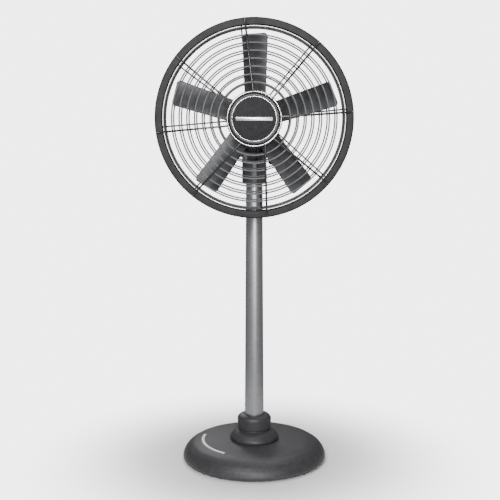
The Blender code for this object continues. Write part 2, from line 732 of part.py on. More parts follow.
def build_blade_clamps(spin_axis):
    """Each blade's clamp strip, with two rivet heads on it, on the blade's front."""
    for index in range(BLADE_COUNT):
        strip = block((0.0240, 0.0020, 0.0200))
        heads = []
        for offset in (-0.006, 0.006):
            head = turned_solid([(0.0, -0.001), (0.0036, -0.001), (0.0028, 0.0018), (0.0, 0.0018)], 8)
            turn = Matrix.Translation((offset, -0.0008, 0.0)) @ Matrix.Rotation(math.radians(90.0), 4, "X")
            heads.append(moved(head, turn))
        strip = boolean(strip, heads, "UNION")
        frame = blade_frame(blade_angle(index), 0.084, pitch_at(0.084))
        place = frame @ Matrix.Translation((0.0, -0.0052, 0.0))
        finish(f"blade_clamp_{index + 1}", moved(strip, place), "bright_zinc", spin_axis)


# ---------------------------------------------------------------- guard and badge

def front_profile_y(radius):
    return FRONT_GUARD_Y + FRONT_DOME * (radius / RIM_R) ** 3


def rear_profile_y(radius):
    return REAR_GUARD_Y - REAR_DOME * (radius / RIM_R) ** 5


def build_rim(tilt_axis):
    """A rolled hoop of C section, open towards the axis."""
    inner = RIM_R - RIM_DEPTH
    front = -RIM_FRONT_Y
    rear = -RIM_REAR_Y
    outline = [
        (inner, rear), (RIM_R - 0.005, rear), (RIM_R, rear + 0.006), (RIM_R, front - 0.006),
        (RIM_R - 0.005, front), (inner, front), (inner, front - RIM_SHEET), (RIM_R - 0.006, front - RIM_SHEET),
        (RIM_R - RIM_SHEET, front - 0.007), (RIM_R - RIM_SHEET, rear + 0.007), (RIM_R - 0.006, rear + RIM_SHEET),
        (inner, rear + RIM_SHEET),
    ]
    finish("guard_rim", on_fan_axis(turned(outline, 32)), "guard_black", tilt_axis)


# The ribs are set by hand: each one's outer end in degrees, and how far past it the rib's inner end lies
FRONT_RIBS = ((4, 0), (49.5, -1.5), (95.5, -3.5), (141.5, 4), (188, 7), (231, 10), (277.5, 16), (319, -4))
REAR_RIBS = ((6, 1), (52, 5), (98, 6), (145, 5), (185, 0), (229.5, 1), (274.5, 2), (321, 8))


def rib_path(angle, lean, inner, rim_face_y, profile, side, points=4):
    """A rib seen straight from the front: it lies on the rim's face, then follows the guard's dome inwards.

    side is -1 on the front guard and 1 on the rear one.
    """
    lift = side * (WIRE_R + RIB_R) * 0.72
    start_angle = math.radians(angle)
    end_angle = math.radians(angle + lean)
    outer = RIM_R - 0.010
    path = [
        on_circle(RIM_R - 0.0010, start_angle, rim_face_y + side * (RIB_R + 0.0008)),
        on_circle(outer, start_angle, rim_face_y + side * (RIB_R + 0.0008)),
    ]
    start = on_circle(outer, start_angle, 0.0)
    end = on_circle(inner, end_angle, 0.0)
    for index in range(1, points):
        point = start.lerp(end, index / (points - 1))
        radius = math.hypot(point.x, point.z - HUB_Z)
        point.y = profile(radius) + lift
        path.append(point)
    return path


def build_front_guard(tilt_axis):
    """Rings welded behind eight ribs, which end on the rim."""
    radii = [FRONT_RING_FIRST_R + index * FRONT_RING_STEP for index in range(FRONT_RINGS)]
    heavy = [(ring_points(radius, front_profile_y(radius)), True) for radius in (BADGE_RING_R, radii[-1])]
    thin = [(ring_points(radius, front_profile_y(radius)), True) for radius in radii[:-1]]
    ribs = []
    for angle, lean in FRONT_RIBS:
        ribs.append((rib_path(angle, lean, BADGE_RING_R, RIM_FRONT_Y, front_profile_y, -1), False))
    guard = boolean(wires(ribs, RIB_R), [wires(thin, WIRE_R), wires(heavy, HEAVY_WIRE_R)], "UNION")
    finish("guard_front", guard, "guard_black", tilt_axis)


def build_rear_guard(tilt_axis):
    """Rings welded to eight ribs, which end on a plate that bolts to the motor's front."""
    thin = []
    for index in range(REAR_RINGS):
        radius = REAR_RING_FIRST_R + index * REAR_RING_STEP
        thin.append((ring_points(radius, rear_profile_y(radius)), True))
    ribs = []
    for angle, lean in REAR_RIBS:
        ribs.append((rib_path(angle, lean, 0.0945, RIM_REAR_Y, rear_profile_y, 1), False))
    plate_front = -REAR_GUARD_Y + 0.0016
    plate = on_fan_axis(washer(0.0480, 0.1000, plate_front - 0.0040, plate_front, 28))
    holes = [on_fan_axis(hole) for hole in bolt_circle(0.066, 0.0030, 0.070, 0.100, SHIELD_BOLTS)]
    plate = boolean(plate, holes, "DIFFERENCE")
    guard = boolean(wires(ribs, RIB_R), [wires(thin, WIRE_R), plate], "UNION")
    finish("guard_rear", guard, "guard_black", tilt_axis)
    for index, angle in enumerate(SHIELD_BOLTS):
        screw = headed_bolt(0.0027, 0.0120, 0.0060, 0.0040)
        place = Matrix.Translation((0.066 * math.cos(angle), 0.066 * math.sin(angle), plate_front + GAP))
        finish(f"guard_screw_{index + 1}", on_fan_axis(moved(screw, place)), "bright_zinc", tilt_axis)


def build_badge(tilt_axis):
    face = -BADGE_FRONT_Y
    flange_front = -FRONT_GUARD_Y - HEAVY_WIRE_R - 0.0016
    outline = [
        (0.0, face - 0.0050), (0.0, face - 0.0025), (BADGE_FACE_R - 0.0004, face - 0.0025),
        (BADGE_FACE_R - 0.0004, face - 0.0035), (BADGE_TRIM_R + 0.0004, face - 0.0035),
        (BADGE_TRIM_R + 0.0004, face - 0.0025), (BADGE_R - 0.003, face - 0.0025), (BADGE_R, face - 0.0050),
        (BADGE_R, flange_front), (0.0960, flange_front), (0.0960, flange_front - 0.0020),
        (BADGE_R - 0.0025, flange_front - 0.0020), (BADGE_R - 0.0035, face - 0.0060), (0.0, face - 0.0060),
    ]
    finish("badge_dish", on_fan_axis(turned_solid(outline[1:], 28)), "black_plastic", tilt_axis)
    trim = turned([(BADGE_FACE_R, face - 0.0032), (BADGE_TRIM_R, face - 0.0032), (BADGE_TRIM_R, face - 0.0008),
                   (BADGE_TRIM_R - 0.001, face), (BADGE_FACE_R + 0.001, face),
                   (BADGE_FACE_R, face - 0.0008)], 28)
    finish("badge_trim_ring", on_fan_axis(trim), "polished_trim", tilt_axis)
    length, thickness, height = NAME_BAR
    middle_y = BADGE_FRONT_Y + 0.0025 - GAP - thickness / 2
    bar = block((length, thickness, height), (0.0, middle_y, HUB_Z), 0.0008, 1)
    finish("badge_name_bar", bar, "polished_trim", tilt_axis)


# ---------------------------------------------------------------- assembly

def build_fan():
    clear_scene()
    build_base()
    build_feet()
    build_emblem_strip()
    build_flange()
    build_collar()
    build_column()
    build_stop_collar()

    swivel_axis = axis_empty("swivel_axis", (0.0, 0.0, NECK_LOW_Z))
    screw_axis = axis_empty("screw_axis", (0.0, -NECK_R, LOCK_SCREW_Z), swivel_axis)
    lever_axis = axis_empty("lever_axis", (EAR_OUTER_X, 0.0, TILT_Z), swivel_axis)
    tilt_axis = axis_empty("tilt_axis", (0.0, 0.0, TILT_Z), swivel_axis)
    spin_axis = axis_empty("spin_axis", (0.0, BLADE_Y, HUB_Z), tilt_axis)
    knob_axis = axis_empty("knob_axis", (0.0, KNOB_Y, KNOB_Z), tilt_axis)

    build_neck(swivel_axis)
    build_tilt_bolt(swivel_axis)
    build_tilt_lever(lever_axis)
    build_lock_screw(screw_axis)
    build_motor_foot(tilt_axis)
    build_stator_frame(tilt_axis)
    build_front_shield(tilt_axis)
    build_rear_shield(tilt_axis)
    build_stator(tilt_axis)
    build_bearings(tilt_axis)
    build_switch_box(tilt_axis)
    build_gland(tilt_axis)
    build_speed_knob(knob_axis)
    build_rotor(spin_axis)
    build_hub(spin_axis)
    build_blades(spin_axis)
    build_blade_clamps(spin_axis)
    build_rim(tilt_axis)
    build_front_guard(tilt_axis)
    build_rear_guard(tilt_axis)
    build_badge(tilt_axis)


build_fan()
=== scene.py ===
"""Looks of an industrial pedestal fan: fine shells, wire guard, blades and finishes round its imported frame.

Metres, +Z up, the front towards -Y. Each piece is made in place and rides on a body of the frame.
"""
import math

import bmesh
import bpy
from mathutils import Matrix, Vector


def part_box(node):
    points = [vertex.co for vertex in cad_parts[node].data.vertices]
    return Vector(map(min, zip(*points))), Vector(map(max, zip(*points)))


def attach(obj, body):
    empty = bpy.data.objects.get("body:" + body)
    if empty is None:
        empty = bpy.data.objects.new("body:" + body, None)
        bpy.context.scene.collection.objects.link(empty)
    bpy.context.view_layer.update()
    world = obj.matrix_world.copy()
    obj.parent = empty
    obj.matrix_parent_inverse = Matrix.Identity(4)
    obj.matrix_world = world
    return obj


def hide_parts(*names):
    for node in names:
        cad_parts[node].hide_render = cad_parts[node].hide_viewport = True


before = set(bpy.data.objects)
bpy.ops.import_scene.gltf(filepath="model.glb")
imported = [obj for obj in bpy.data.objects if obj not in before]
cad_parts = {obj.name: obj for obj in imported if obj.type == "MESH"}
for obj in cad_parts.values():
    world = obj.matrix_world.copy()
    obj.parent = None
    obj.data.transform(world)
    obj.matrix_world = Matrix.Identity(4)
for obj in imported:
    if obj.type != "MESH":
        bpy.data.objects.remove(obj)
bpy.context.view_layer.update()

scene = bpy.context.scene
MM = 0.001

# ---------------------------------------------------------------- places read from the frame

rim_low, rim_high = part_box("guard_rim")
HUB_Z = (rim_low.z + rim_high.z) / 2
RIM_R = (rim_high.x - rim_low.x) / 2
RIM_FRONT_Y = rim_low.y
RIM_REAR_Y = rim_high.y

bolt_low, bolt_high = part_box("tilt_bolt")
TILT_Z = (bolt_low.z + bolt_high.z) / 2

pillar_low, pillar_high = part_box("pillar_tube")
PILLAR_LOW_R = pillar_high.x
stop_low, stop_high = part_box("stop_collar")
NECK_R = stop_high.x
collar_low, collar_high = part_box("pillar_collar")
flange_low, flange_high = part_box("pillar_flange")
base_low, base_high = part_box("base_casting")
badge_low, badge_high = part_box("badge_dish")
bar_low, bar_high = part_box("badge_name_bar")
shaft_low, shaft_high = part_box("motor_shaft")
stator_low, stator_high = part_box("stator_frame")
box_low, box_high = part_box("switch_box")
lid_low, lid_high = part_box("switch_box_lid")
knob_low, knob_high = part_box("speed_knob")
screw_low, screw_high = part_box("swivel_lock_screw")
lever_low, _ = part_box("tilt_lock_lever")

# ---------------------------------------------------------------- sizes of the fine shapes

PILLAR_TOP_R = 0.0303
PILLAR_WALL = 0.0028
BLADE_Y = -0.165
BLADE_COUNT = 5
BLADE_START = math.radians(90.0)
TIP_R = 0.297
TIP_SLANT = 0.009
BLADE_ROOT_R = 0.070
CHORD_ROOT = 0.089
CHORD_TIP = 0.100
PITCH_ROOT = math.radians(34.0)
PITCH_TIP = math.radians(26.0)
CAMBER = 0.0085
SHEET = 0.0022
CLAMP_R = 0.084

REAR_GUARD_Y = -0.0855
FRONT_GUARD_Y = -0.2585
FRONT_DOME = 0.062
REAR_DOME = 0.071
FRONT_RINGS = [0.1235 + 0.0267 * index for index in range(8)]
REAR_RINGS = [0.1250 + 0.0268 * index for index in range(8)]
BADGE_RING_R = 0.0918
REAR_RIB_END_R = 0.0945
WIRE_R = 0.0028
HEAVY_WIRE_R = 0.0034
FRONT_RIB_R = 0.0036
REAR_RIB_R = 0.0030
# The web across the rear of the neck, between its ears
NECK_WEB_SIZE = (0.0540, 0.0070, 0.0255)
NECK_WEB_MIDDLE = (0.0, 0.0335, 1.14475)

CAMERA_DISTANCE = 3.511
CAMERA_DOWN_DEG = 7.864
CAMERA_LENS_MM = 68.36
SENSOR_MM = 36.0
CAMERA_SHIFT_X = -0.0085
FLOOR_R = 3.2
# Each rib's outer end in degrees, and how far past it the rib's inner end lies: they are bent by hand
FRONT_RIBS = ((4, 0), (49.5, -1.5), (95.5, -3.5), (141.5, 4), (188, 7), (231, 10), (277.5, 16), (319, -4))
REAR_RIBS = ((6, 1), (52, 5), (98, 6), (145, 5), (185, 0), (229.5, 1), (274.5, 2), (321, 8))

# ---------------------------------------------------------------- finishes


def linear(hex_colour):
    """An sRGB hex colour as linear RGBA."""
    values = []
    for start in (1, 3, 5):
        share = int(hex_colour[start:start + 2], 16) / 255.0
        values.append(share / 12.92 if share <= 0.04045 else ((share + 0.055) / 1.055) ** 2.4)
    return (*values, 1.0)


def add_node(tree, kind, settings=None, inputs=None):
    """Add one node: an input given as a socket is linked, and any other value is set."""
    item = tree.nodes.new(kind)
    for name, value in (settings or {}).items():
        setattr(item, name, value)
    for name, value in (inputs or {}).items():
        if isinstance(value, bpy.types.NodeSocket):
            tree.links.new(value, item.inputs[name])
        else:
            item.inputs[name].default_value = value
    return item


def grained_finish(name, dark, light, roughness, grain_mm, patch_mm, relief_mm, metallic=0.0,
                   stretch=(1.0, 1.0, 1.0), contrast=0.12, spread=0.10, shader_values=None):
    """A skin whose colour drifts over patches and whose fine grain stands in relief.

    grain_mm and patch_mm are the real sizes of the grain and of the patches, relief_mm the grain's height,
    stretch draws the grain out along an axis, contrast is how far the grain darkens the colour, and
    spread is how far it changes the roughness.
    """
    material = bpy.data.materials.new(name)
    material.use_nodes = True
    tree = material.node_tree
    shader = tree.nodes["Principled BSDF"]
    shader.inputs["Metallic"].default_value = metallic
    for socket, value in (shader_values or {}).items():
        shader.inputs[socket].default_value = value
    place = add_node(tree, "ShaderNodeTexCoord").outputs["Object"]
    drawn = add_node(tree, "ShaderNodeMapping", inputs={"Vector": place, "Scale": stretch}).outputs[0]
    patch = add_node(tree, "ShaderNodeTexNoise", inputs={
        "Vector": place, "Scale": 1 / (patch_mm * MM), "Detail": 3.0, "Roughness": 0.6})
    grain = add_node(tree, "ShaderNodeTexNoise", inputs={
        "Vector": drawn, "Scale": 1 / (grain_mm * MM), "Detail": 2.0, "Roughness": 0.65})
    drift = add_node(tree, "ShaderNodeMapRange", inputs={
        "Value": patch.outputs["Fac"], "From Min": 0.32, "From Max": 0.68})
    colour = add_node(tree, "ShaderNodeMix", {"data_type": "RGBA"}, {
        0: drift.outputs[0], 6: linear(dark), 7: linear(light)})
    shade = add_node(tree, "ShaderNodeMapRange", inputs={
        "Value": grain.outputs["Fac"], "From Min": 0.3, "From Max": 0.7,
        "To Min": 1.0 - contrast, "To Max": 1.0 + contrast})
    spotted = add_node(tree, "ShaderNodeVectorMath", {"operation": "SCALE"}, {
        0: colour.outputs[2], "Scale": shade.outputs[0]})
    tree.links.new(spotted.outputs[0], shader.inputs["Base Color"])
    gloss = add_node(tree, "ShaderNodeMapRange", inputs={
        "Value": grain.outputs["Fac"], "From Min": 0.3, "From Max": 0.7,
        "To Min": roughness - spread, "To Max": roughness + spread})
    tree.links.new(gloss.outputs[0], shader.inputs["Roughness"])
    bump = add_node(tree, "ShaderNodeBump", inputs={
        "Height": grain.outputs["Fac"], "Strength": 0.6, "Distance": relief_mm * MM})
    tree.links.new(bump.outputs[0], shader.inputs["Normal"])
    return material


def banded_finish(name, dark, light, roughness, band_mm, axis, relief_mm):
    """A metal with fine parallel lines across one axis, as on laminations and windings."""
    material = grained_finish(name, dark, light, roughness, 0.8, 14.0, 0.02, metallic=1.0, contrast=0.06)
    tree = material.node_tree
    shader = tree.nodes["Principled BSDF"]
    place = add_node(tree, "ShaderNodeTexCoord").outputs["Object"]
    bands = add_node(tree, "ShaderNodeTexWave", {
        "wave_type": "BANDS", "bands_direction": axis, "wave_profile": "SIN"}, {
        "Vector": place, "Scale": math.tau / (20.0 * band_mm * MM), "Distortion": 0.4, "Detail": 1.0})
    bump = add_node(tree, "ShaderNodeBump", inputs={
        "Height": bands.outputs["Fac"], "Strength": 1.0, "Distance": relief_mm * MM,
        "Normal": shader.inputs["Normal"].links[0].from_socket})
    tree.links.new(bump.outputs[0], shader.inputs["Normal"])
    return material


# Baked enamel over sand-cast iron: a pebbled skin under the paint breaks its sheen into a fine grain
IRON_ENAMEL = grained_finish("textured_enamel_on_cast_iron", "#303033", "#39393c", 0.50, 3.2, 20.0, 0.55,
                             contrast=0.42, shader_values={"Specular IOR Level": 0.45})
# The same enamel sprayed on machined castings: smoother, so its highlights draw out along the form
CASTING_ENAMEL = grained_finish("satin_enamel_on_machined_castings", "#464649", "#57575a", 0.40, 2.4, 26.0,
                                0.20,
                                contrast=0.26, shader_values={"Specular IOR Level": 0.55})
# Silver-grey stove paint on drawn steel tube: metal flake gives a broad satin sheen, drawn along the tube
TUBE_PAINT = grained_finish("silver_grey_stoved_paint_on_drawn_tube", "#adaeb1", "#b7b8bb", 0.40, 2.2, 40.0,
                            0.04,
                            metallic=0.88, stretch=(1.0, 1.0, 0.45), contrast=0.14, spread=0.06)
# Black dipped coating on the rear ribs, the outermost front ring and the rear plate: thick, slightly wavy
DIPPED_BLACK = grained_finish("dipped_black_coating_on_steel", "#1c1c1e", "#29292b", 0.36, 3.0, 30.0, 0.12,
                              contrast=0.12, shader_values={"Specular IOR Level": 0.45})
# Matt black paint sprayed on the rolled hoop: dull, so that lamps hardly mark it
HOOP_PAINT = grained_finish("matt_black_paint_on_rolled_strip", "#232325", "#313133", 0.62, 2.0, 30.0, 0.14,
                            contrast=0.20, shader_values={"Specular IOR Level": 0.30})
# Steel rods under black lacquer: dark, with one thin bright line of light along each
LACQUERED_ROD = grained_finish("black_lacquered_steel_rod", "#242426", "#303032", 0.26, 1.8, 26.0, 0.03,
                               contrast=0.10, spread=0.05, shader_values={"Specular IOR Level": 0.85})
# Drawn wire under grey paint: mid grey, darker than a pale wall and lighter than the blades
PAINTED_WIRE = grained_finish("grey_painted_drawn_wire", "#5c5d5f", "#6e6f71", 0.50, 1.6, 22.0, 0.05,
                              contrast=0.14, shader_values={"Specular IOR Level": 0.30})
# Nickel-plated heavy wire: the light ring round the badge
NICKEL = grained_finish("nickel_plated_heavy_wire", "#c4c4c2", "#d6d6d4", 0.24, 1.0, 18.0, 0.01,
                        metallic=1.0, contrast=0.04, spread=0.05)
# Satin paint on pressed sheet blades: rolling marks show faintly through it
BLADE_PAINT = grained_finish("satin_paint_on_pressed_sheet", "#424245", "#555558", 0.42, 1.3, 28.0, 0.05,
                             metallic=0.30, contrast=0.10, shader_values={"Specular IOR Level": 0.6})
# Moulded ABS with a spark-eroded texture: deep black, evenly dull
MOULDED_ABS = grained_finish("moulded_abs_spark_texture", "#1c1c1e", "#242426", 0.50, 0.9, 30.0, 0.05,
                             contrast=0.08)
# Satin black lacquer round the badge's rim
SATIN_LACQUER = grained_finish("satin_black_lacquer", "#111112", "#19191a", 0.34, 2.5, 30.0, 0.02,
                               contrast=0.06, spread=0.05, shader_values={"Specular IOR Level": 0.30})
# Crackle paint on the badge's face: a mottled grain of light and dark specks
CRACKLE_PAINT = grained_finish("crackle_paint_badge_face", "#202022", "#2e2e30", 0.70, 2.8, 7.0, 0.25,
                               contrast=0.50, spread=0.10, shader_values={"Specular IOR Level": 0.22})
# Chromed brass: mirror bright, softened by handling
CHROME = grained_finish("chromed_brass_trim", "#b4b4b4", "#c6c6c6", 0.22, 1.5, 20.0, 0.005,
                        metallic=1.0, contrast=0.02, spread=0.05)
# Brushed aluminium bar: lines along its length spread the light upwards
BRUSHED_BAR = grained_finish("brushed_aluminium_bar", "#c9c9c9", "#dcdcdc", 0.30, 0.9, 25.0, 0.03,
                             metallic=0.9, stretch=(0.06, 1.0, 1.0), contrast=0.08)
# White vinyl strip
WHITE_VINYL = grained_finish("white_vinyl_strip", "#d9d9d7", "#e8e8e6", 0.42, 1.4, 22.0, 0.02, contrast=0.04)
# Bright zinc plate on turned and pressed fasteners: cool, slightly cloudy
ZINC = grained_finish("bright_zinc_plate", "#b4b6b8", "#cfd0cf", 0.28, 0.9, 7.0, 0.02, metallic=1.0,
                      contrast=0.06)
# Die-cast aluminium left bare: pale, sparkling and dull together; it also gives the bar screw its dull face
CAST_ALUMINIUM = grained_finish("bare_die_cast_aluminium", "#9c9d9f", "#b0b1b2", 0.46, 1.1, 18.0, 0.08,
                                metallic=1.0, contrast=0.10)
# Moulded rubber foot, a little dusty
RUBBER = grained_finish("moulded_black_rubber", "#161616", "#222222", 0.82, 1.2, 16.0, 0.08, contrast=0.10)
# Ground bearing and shaft steel
GROUND_STEEL = grained_finish("ground_steel", "#a7a8aa", "#bcbdbe", 0.24, 0.8, 20.0, 0.01,
                              metallic=1.0, stretch=(1.0, 12.0, 1.0), contrast=0.06)
# Turned brass washer
BRASS = grained_finish("turned_brass", "#a98748", "#c29c56", 0.30, 0.8, 10.0, 0.01, metallic=1.0,
                       contrast=0.06)
# Stacked steel laminations: fine dark lines across the core
LAMINATIONS = banded_finish("stacked_silicon_steel", "#55565a", "#6c6d71", 0.42, 1.0, "Y", 0.15)
# Varnished copper wire, wound round the core
COPPER = banded_finish("varnished_copper_winding", "#8a4420", "#b5652f", 0.34, 1.6, "X", 0.5)
# Aluminium can of the run capacitor
CAPACITOR_CAN = grained_finish("drawn_aluminium_can", "#9c9da0", "#b0b1b3", 0.30, 0.9, 20.0, 0.02,
                               metallic=1.0, stretch=(0.2, 1.0, 1.0), contrast=0.05)

# ---------------------------------------------------------------- shapes

ALONG_FAN = Matrix.Translation((0.0, 0.0, HUB_Z)) @ Matrix.Rotation(math.radians(90.0), 4, "X")
TO_REAR = Matrix.Rotation(math.radians(-90.0), 4, "X")
TO_FRONT = Matrix.Rotation(math.radians(90.0), 4, "X")
TO_RIGHT = Matrix.Rotation(math.radians(90.0), 4, "Y")


def rounded_outline(corners, arc_steps=5, closed=True):
    """Replace each corner of (across, up, rounding) with an arc of that radius."""
    points = []
    last = len(corners) - 1
    for index, (across, up, rounding) in enumerate(corners):
        here = Vector((across, up))
        if rounding == 0.0 or (not closed and index in (0, last)):
            points.append(here)
            continue
        before = Vector(corners[index - 1][:2]) - here
        after = Vector(corners[0 if index == last else index + 1][:2]) - here
        half = before.angle(after) / 2
        reach = min(rounding / math.tan(half), 0.49 * min(before.length, after.length))
        radius = reach * math.tan(half)
        centre = here + (before.normalized() + after.normalized()).normalized() * radius / math.sin(half)
        start = here + before.normalized() * reach - centre
        end = here + after.normalized() * reach - centre
        for step in range(arc_steps + 1):
            points.append(centre + start.lerp(end, step / arc_steps).normalized() * radius)
    return points


def turned(corners, steps=96, closed=True, arc_steps=5):
    """Lathe an outline of (radius, height, rounding) about Z."""
    bm = bmesh.new()
    verts = [bm.verts.new((point.x, 0.0, point.y)) for point in rounded_outline(corners, arc_steps, closed)]
    pairs = list(zip(verts, verts[1:]))
    if closed:
        pairs.append((verts[-1], verts[0]))
    edges = [bm.edges.new(pair) for pair in pairs]
    bmesh.ops.spin(bm, geom=verts + edges, axis=(0, 0, 1), cent=(0, 0, 0), dvec=(0, 0, 0),
                   angle=math.tau, steps=steps, use_merge=True, use_duplicate=False)
    return bm


def wire_ring(radius, wire_r, steps=96, sides=10):
    """A hoop of round wire about Z."""
    bm = bmesh.new()
    bmesh.ops.create_circle(bm, cap_ends=False, segments=sides, radius=wire_r)
    bmesh.ops.rotate(bm, cent=(0, 0, 0), matrix=Matrix.Rotation(math.radians(90.0), 3, "X"), verts=bm.verts)
    bmesh.ops.translate(bm, vec=(radius, 0.0, 0.0), verts=bm.verts)
    bmesh.ops.spin(bm, geom=bm.verts[:] + bm.edges[:], axis=(0, 0, 1), cent=(0, 0, 0), dvec=(0, 0, 0),
                   angle=math.tau, steps=steps, use_merge=True, use_duplicate=False)
    return bm


def bent_rod(points, radius, resolution=3, smoothness=5):
    """Round rod that runs smoothly through the points, with closed ends."""
    curve = bpy.data.curves.new("rod", "CURVE")
    curve.dimensions = "3D"
    curve.bevel_depth = radius
    curve.bevel_resolution = resolution
    curve.use_fill_caps = True
    spline = curve.splines.new("BEZIER")
    spline.resolution_u = smoothness
    spline.bezier_points.add(len(points) - 1)
    for target, point in zip(spline.bezier_points, points):
        target.co = point
        target.handle_left_type = "AUTO"
        target.handle_right_type = "AUTO"
    item = bpy.data.objects.new("rod", curve)
    scene.collection.objects.link(item)
    mesh = bpy.data.meshes.new_from_object(item.evaluated_get(bpy.context.evaluated_depsgraph_get()))
    bpy.data.objects.remove(item, do_unlink=True)
    bm = bmesh.new()
    bm.from_mesh(mesh)
    bpy.data.meshes.remove(mesh)
    bmesh.ops.remove_doubles(bm, verts=bm.verts, dist=0.00001)
    return bm


def bevel_edges(bm, width, segments=3, sharper_than=30.0):
    """Round every edge that turns by more than an angle."""
    limit = math.radians(sharper_than)
    edges = [edge for edge in bm.edges if edge.is_manifold and edge.calc_face_angle() > limit]
    bmesh.ops.bevel(bm, geom=edges, offset=width, segments=segments, affect="EDGES", profile=0.5,
                    material=-1)
    return bm


def block(size, centre=(0.0, 0.0, 0.0), rounding=0.001, segments=3):
    bm = bmesh.new()
    bmesh.ops.create_cube(bm, size=1.0)
    bmesh.ops.scale(bm, vec=size, verts=bm.verts)
    bmesh.ops.translate(bm, vec=centre, verts=bm.verts)
    return bevel_edges(bm, rounding, segments)


def slab(corners, thickness, rounding=0.0, arc_steps=5):
    """An outline of (across, up, rounding) in the XY plane, given a thickness centred on z = 0."""
    bm = bmesh.new()
    outline = rounded_outline(corners, arc_steps)
    verts = [bm.verts.new((point.x, point.y, -thickness / 2)) for point in outline]
    face = bm.faces.new(verts)
    extruded = bmesh.ops.extrude_face_region(bm, geom=[face])
    top = [item for item in extruded["geom"] if isinstance(item, bmesh.types.BMVert)]
    bmesh.ops.translate(bm, vec=(0.0, 0.0, thickness), verts=top)
    bmesh.ops.recalc_face_normals(bm, faces=bm.faces)
    if rounding > 0.0:
        bevel_edges(bm, rounding, 2, 60.0)
    return bm


def hexagon(radius, height, low=0.0, rounding=0.0006):
    bm = bmesh.new()
    bmesh.ops.create_cone(bm, cap_ends=True, segments=6, radius1=radius, radius2=radius, depth=height)
    bmesh.ops.translate(bm, vec=(0.0, 0.0, low + height / 2), verts=bm.verts)
    return bevel_edges(bm, rounding, 2)


def pan_head(radius, height, low=0.0):
    """A domed screw or rivet head."""
    return turned([(0.0, low - 0.0005, 0), (radius * 0.9, low - 0.0005, 0), (radius, low, 0.0004),
                   (radius * 0.95, low + height * 0.6, radius * 0.5),
                   (radius * 0.4, low + height, radius * 0.6),
                   (0.0, low + height, 0)], 24, False, 4)


def placed(bm, matrix):
    bmesh.ops.transform(bm, matrix=matrix, verts=bm.verts)
    return bm


def together(*parts):
    """Several closed shapes in one mesh."""
    whole = bmesh.new()
    for part in parts:
        scrap = bpy.data.meshes.new("scrap")
        part.to_mesh(scrap)
        part.free()
        whole.from_mesh(scrap)
        bpy.data.meshes.remove(scrap)
    return whole


def piece(name, bm, material, body, replaces=(), sharp=38.0):
    """Make a named piece that rides on a body, takes a slot's finish and stands for frame nodes."""
    bmesh.ops.remove_doubles(bm, verts=bm.verts, dist=0.000004)
    bmesh.ops.recalc_face_normals(bm, faces=bm.faces)
    mesh = bpy.data.meshes.new(name)
    bm.to_mesh(mesh)
    bm.free()
    mesh.shade_smooth()
    mesh.set_sharp_from_angle(angle=math.radians(sharp))
    mesh.materials.append(material)
    item = bpy.data.objects.new(name, mesh)
    scene.collection.objects.link(item)
    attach(item, body)
    if replaces:
        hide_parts(*replaces)
    return item


def refinish(material, *nodes):
    """Give frame nodes that stay in view a material."""
    for node in nodes:
        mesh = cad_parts[node].data
        mesh.materials.clear()
        mesh.materials.append(material)


# ---------------------------------------------------------------- camera, floor and lamps


def aimed(item, place, target):
    item.location = place
    item.rotation_euler = (Vector(target) - Vector(place)).to_track_quat("-Z", "Y").to_euler()


def add_camera():
    camera = bpy.data.cameras.new("camera")
    camera.lens = CAMERA_LENS_MM
    camera.sensor_width = SENSOR_MM
    camera.shift_x = CAMERA_SHIFT_X
    item = bpy.data.objects.new("camera", camera)
    item.location = (0.0, -CAMERA_DISTANCE, HUB_Z)
    item.rotation_euler = (math.radians(90.0 - CAMERA_DOWN_DEG), 0.0, 0.0)
    scene.collection.objects.link(item)
    scene.camera = item


def add_lamp(name, place, target, size, power):
    lamp = bpy.data.lights.new(name, "AREA")
    lamp.shape = "DISK"
    lamp.size = size
    lamp.energy = power
    item = bpy.data.objects.new(name, lamp)
    scene.collection.objects.link(item)
    aimed(item, place, target)


def add_floor():
    """A pale round floor that fades into the pale surroundings at its edge."""
    bm = bmesh.new()
    bmesh.ops.create_circle(bm, cap_ends=True, segments=96, radius=FLOOR_R)
    mesh = bpy.data.meshes.new("floor")
    bm.to_mesh(mesh)
    bm.free()
    floor = bpy.data.objects.new("floor", mesh)
    scene.collection.objects.link(floor)
    material = bpy.data.materials.new("pale_studio_floor")
    material.use_nodes = True
    tree = material.node_tree
    shader = tree.nodes["Principled BSDF"]
    shader.inputs["Base Color"].default_value = linear("#f4f4f3")
    shader.inputs["Roughness"].default_value = 0.75
    place = add_node(tree, "ShaderNodeTexCoord").outputs["Object"]
    distance = add_node(tree, "ShaderNodeVectorMath", {"operation": "LENGTH"}, {0: place})
    fade = add_node(tree, "ShaderNodeMapRange", {"interpolation_type": "SMOOTHSTEP"}, {
        "Value": distance.outputs["Value"], "From Min": 0.27, "From Max": 0.95, "To Min": 1.0,
        "To Max": 0.0})
    tree.links.new(fade.outputs[0], shader.inputs["Alpha"])
    mesh.materials.append(material)


def add_surroundings():
    """Pale to the eye, and dimmer as a source of light, so that the lamps shape the object."""
    world = bpy.data.worlds.new("surroundings")
    world.use_nodes = True
    tree = world.node_tree
    background = tree.nodes["Background"]
    background.inputs["Color"].default_value = linear("#f4f4f4")
    seen = add_node(tree, "ShaderNodeLightPath").outputs["Is Camera Ray"]
    strength = add_node(tree, "ShaderNodeMapRange", inputs={"Value": seen, "To Min": 0.20, "To Max": 5.0})
    tree.links.new(strength.outputs[0], background.inputs["Strength"])
    scene.world = world


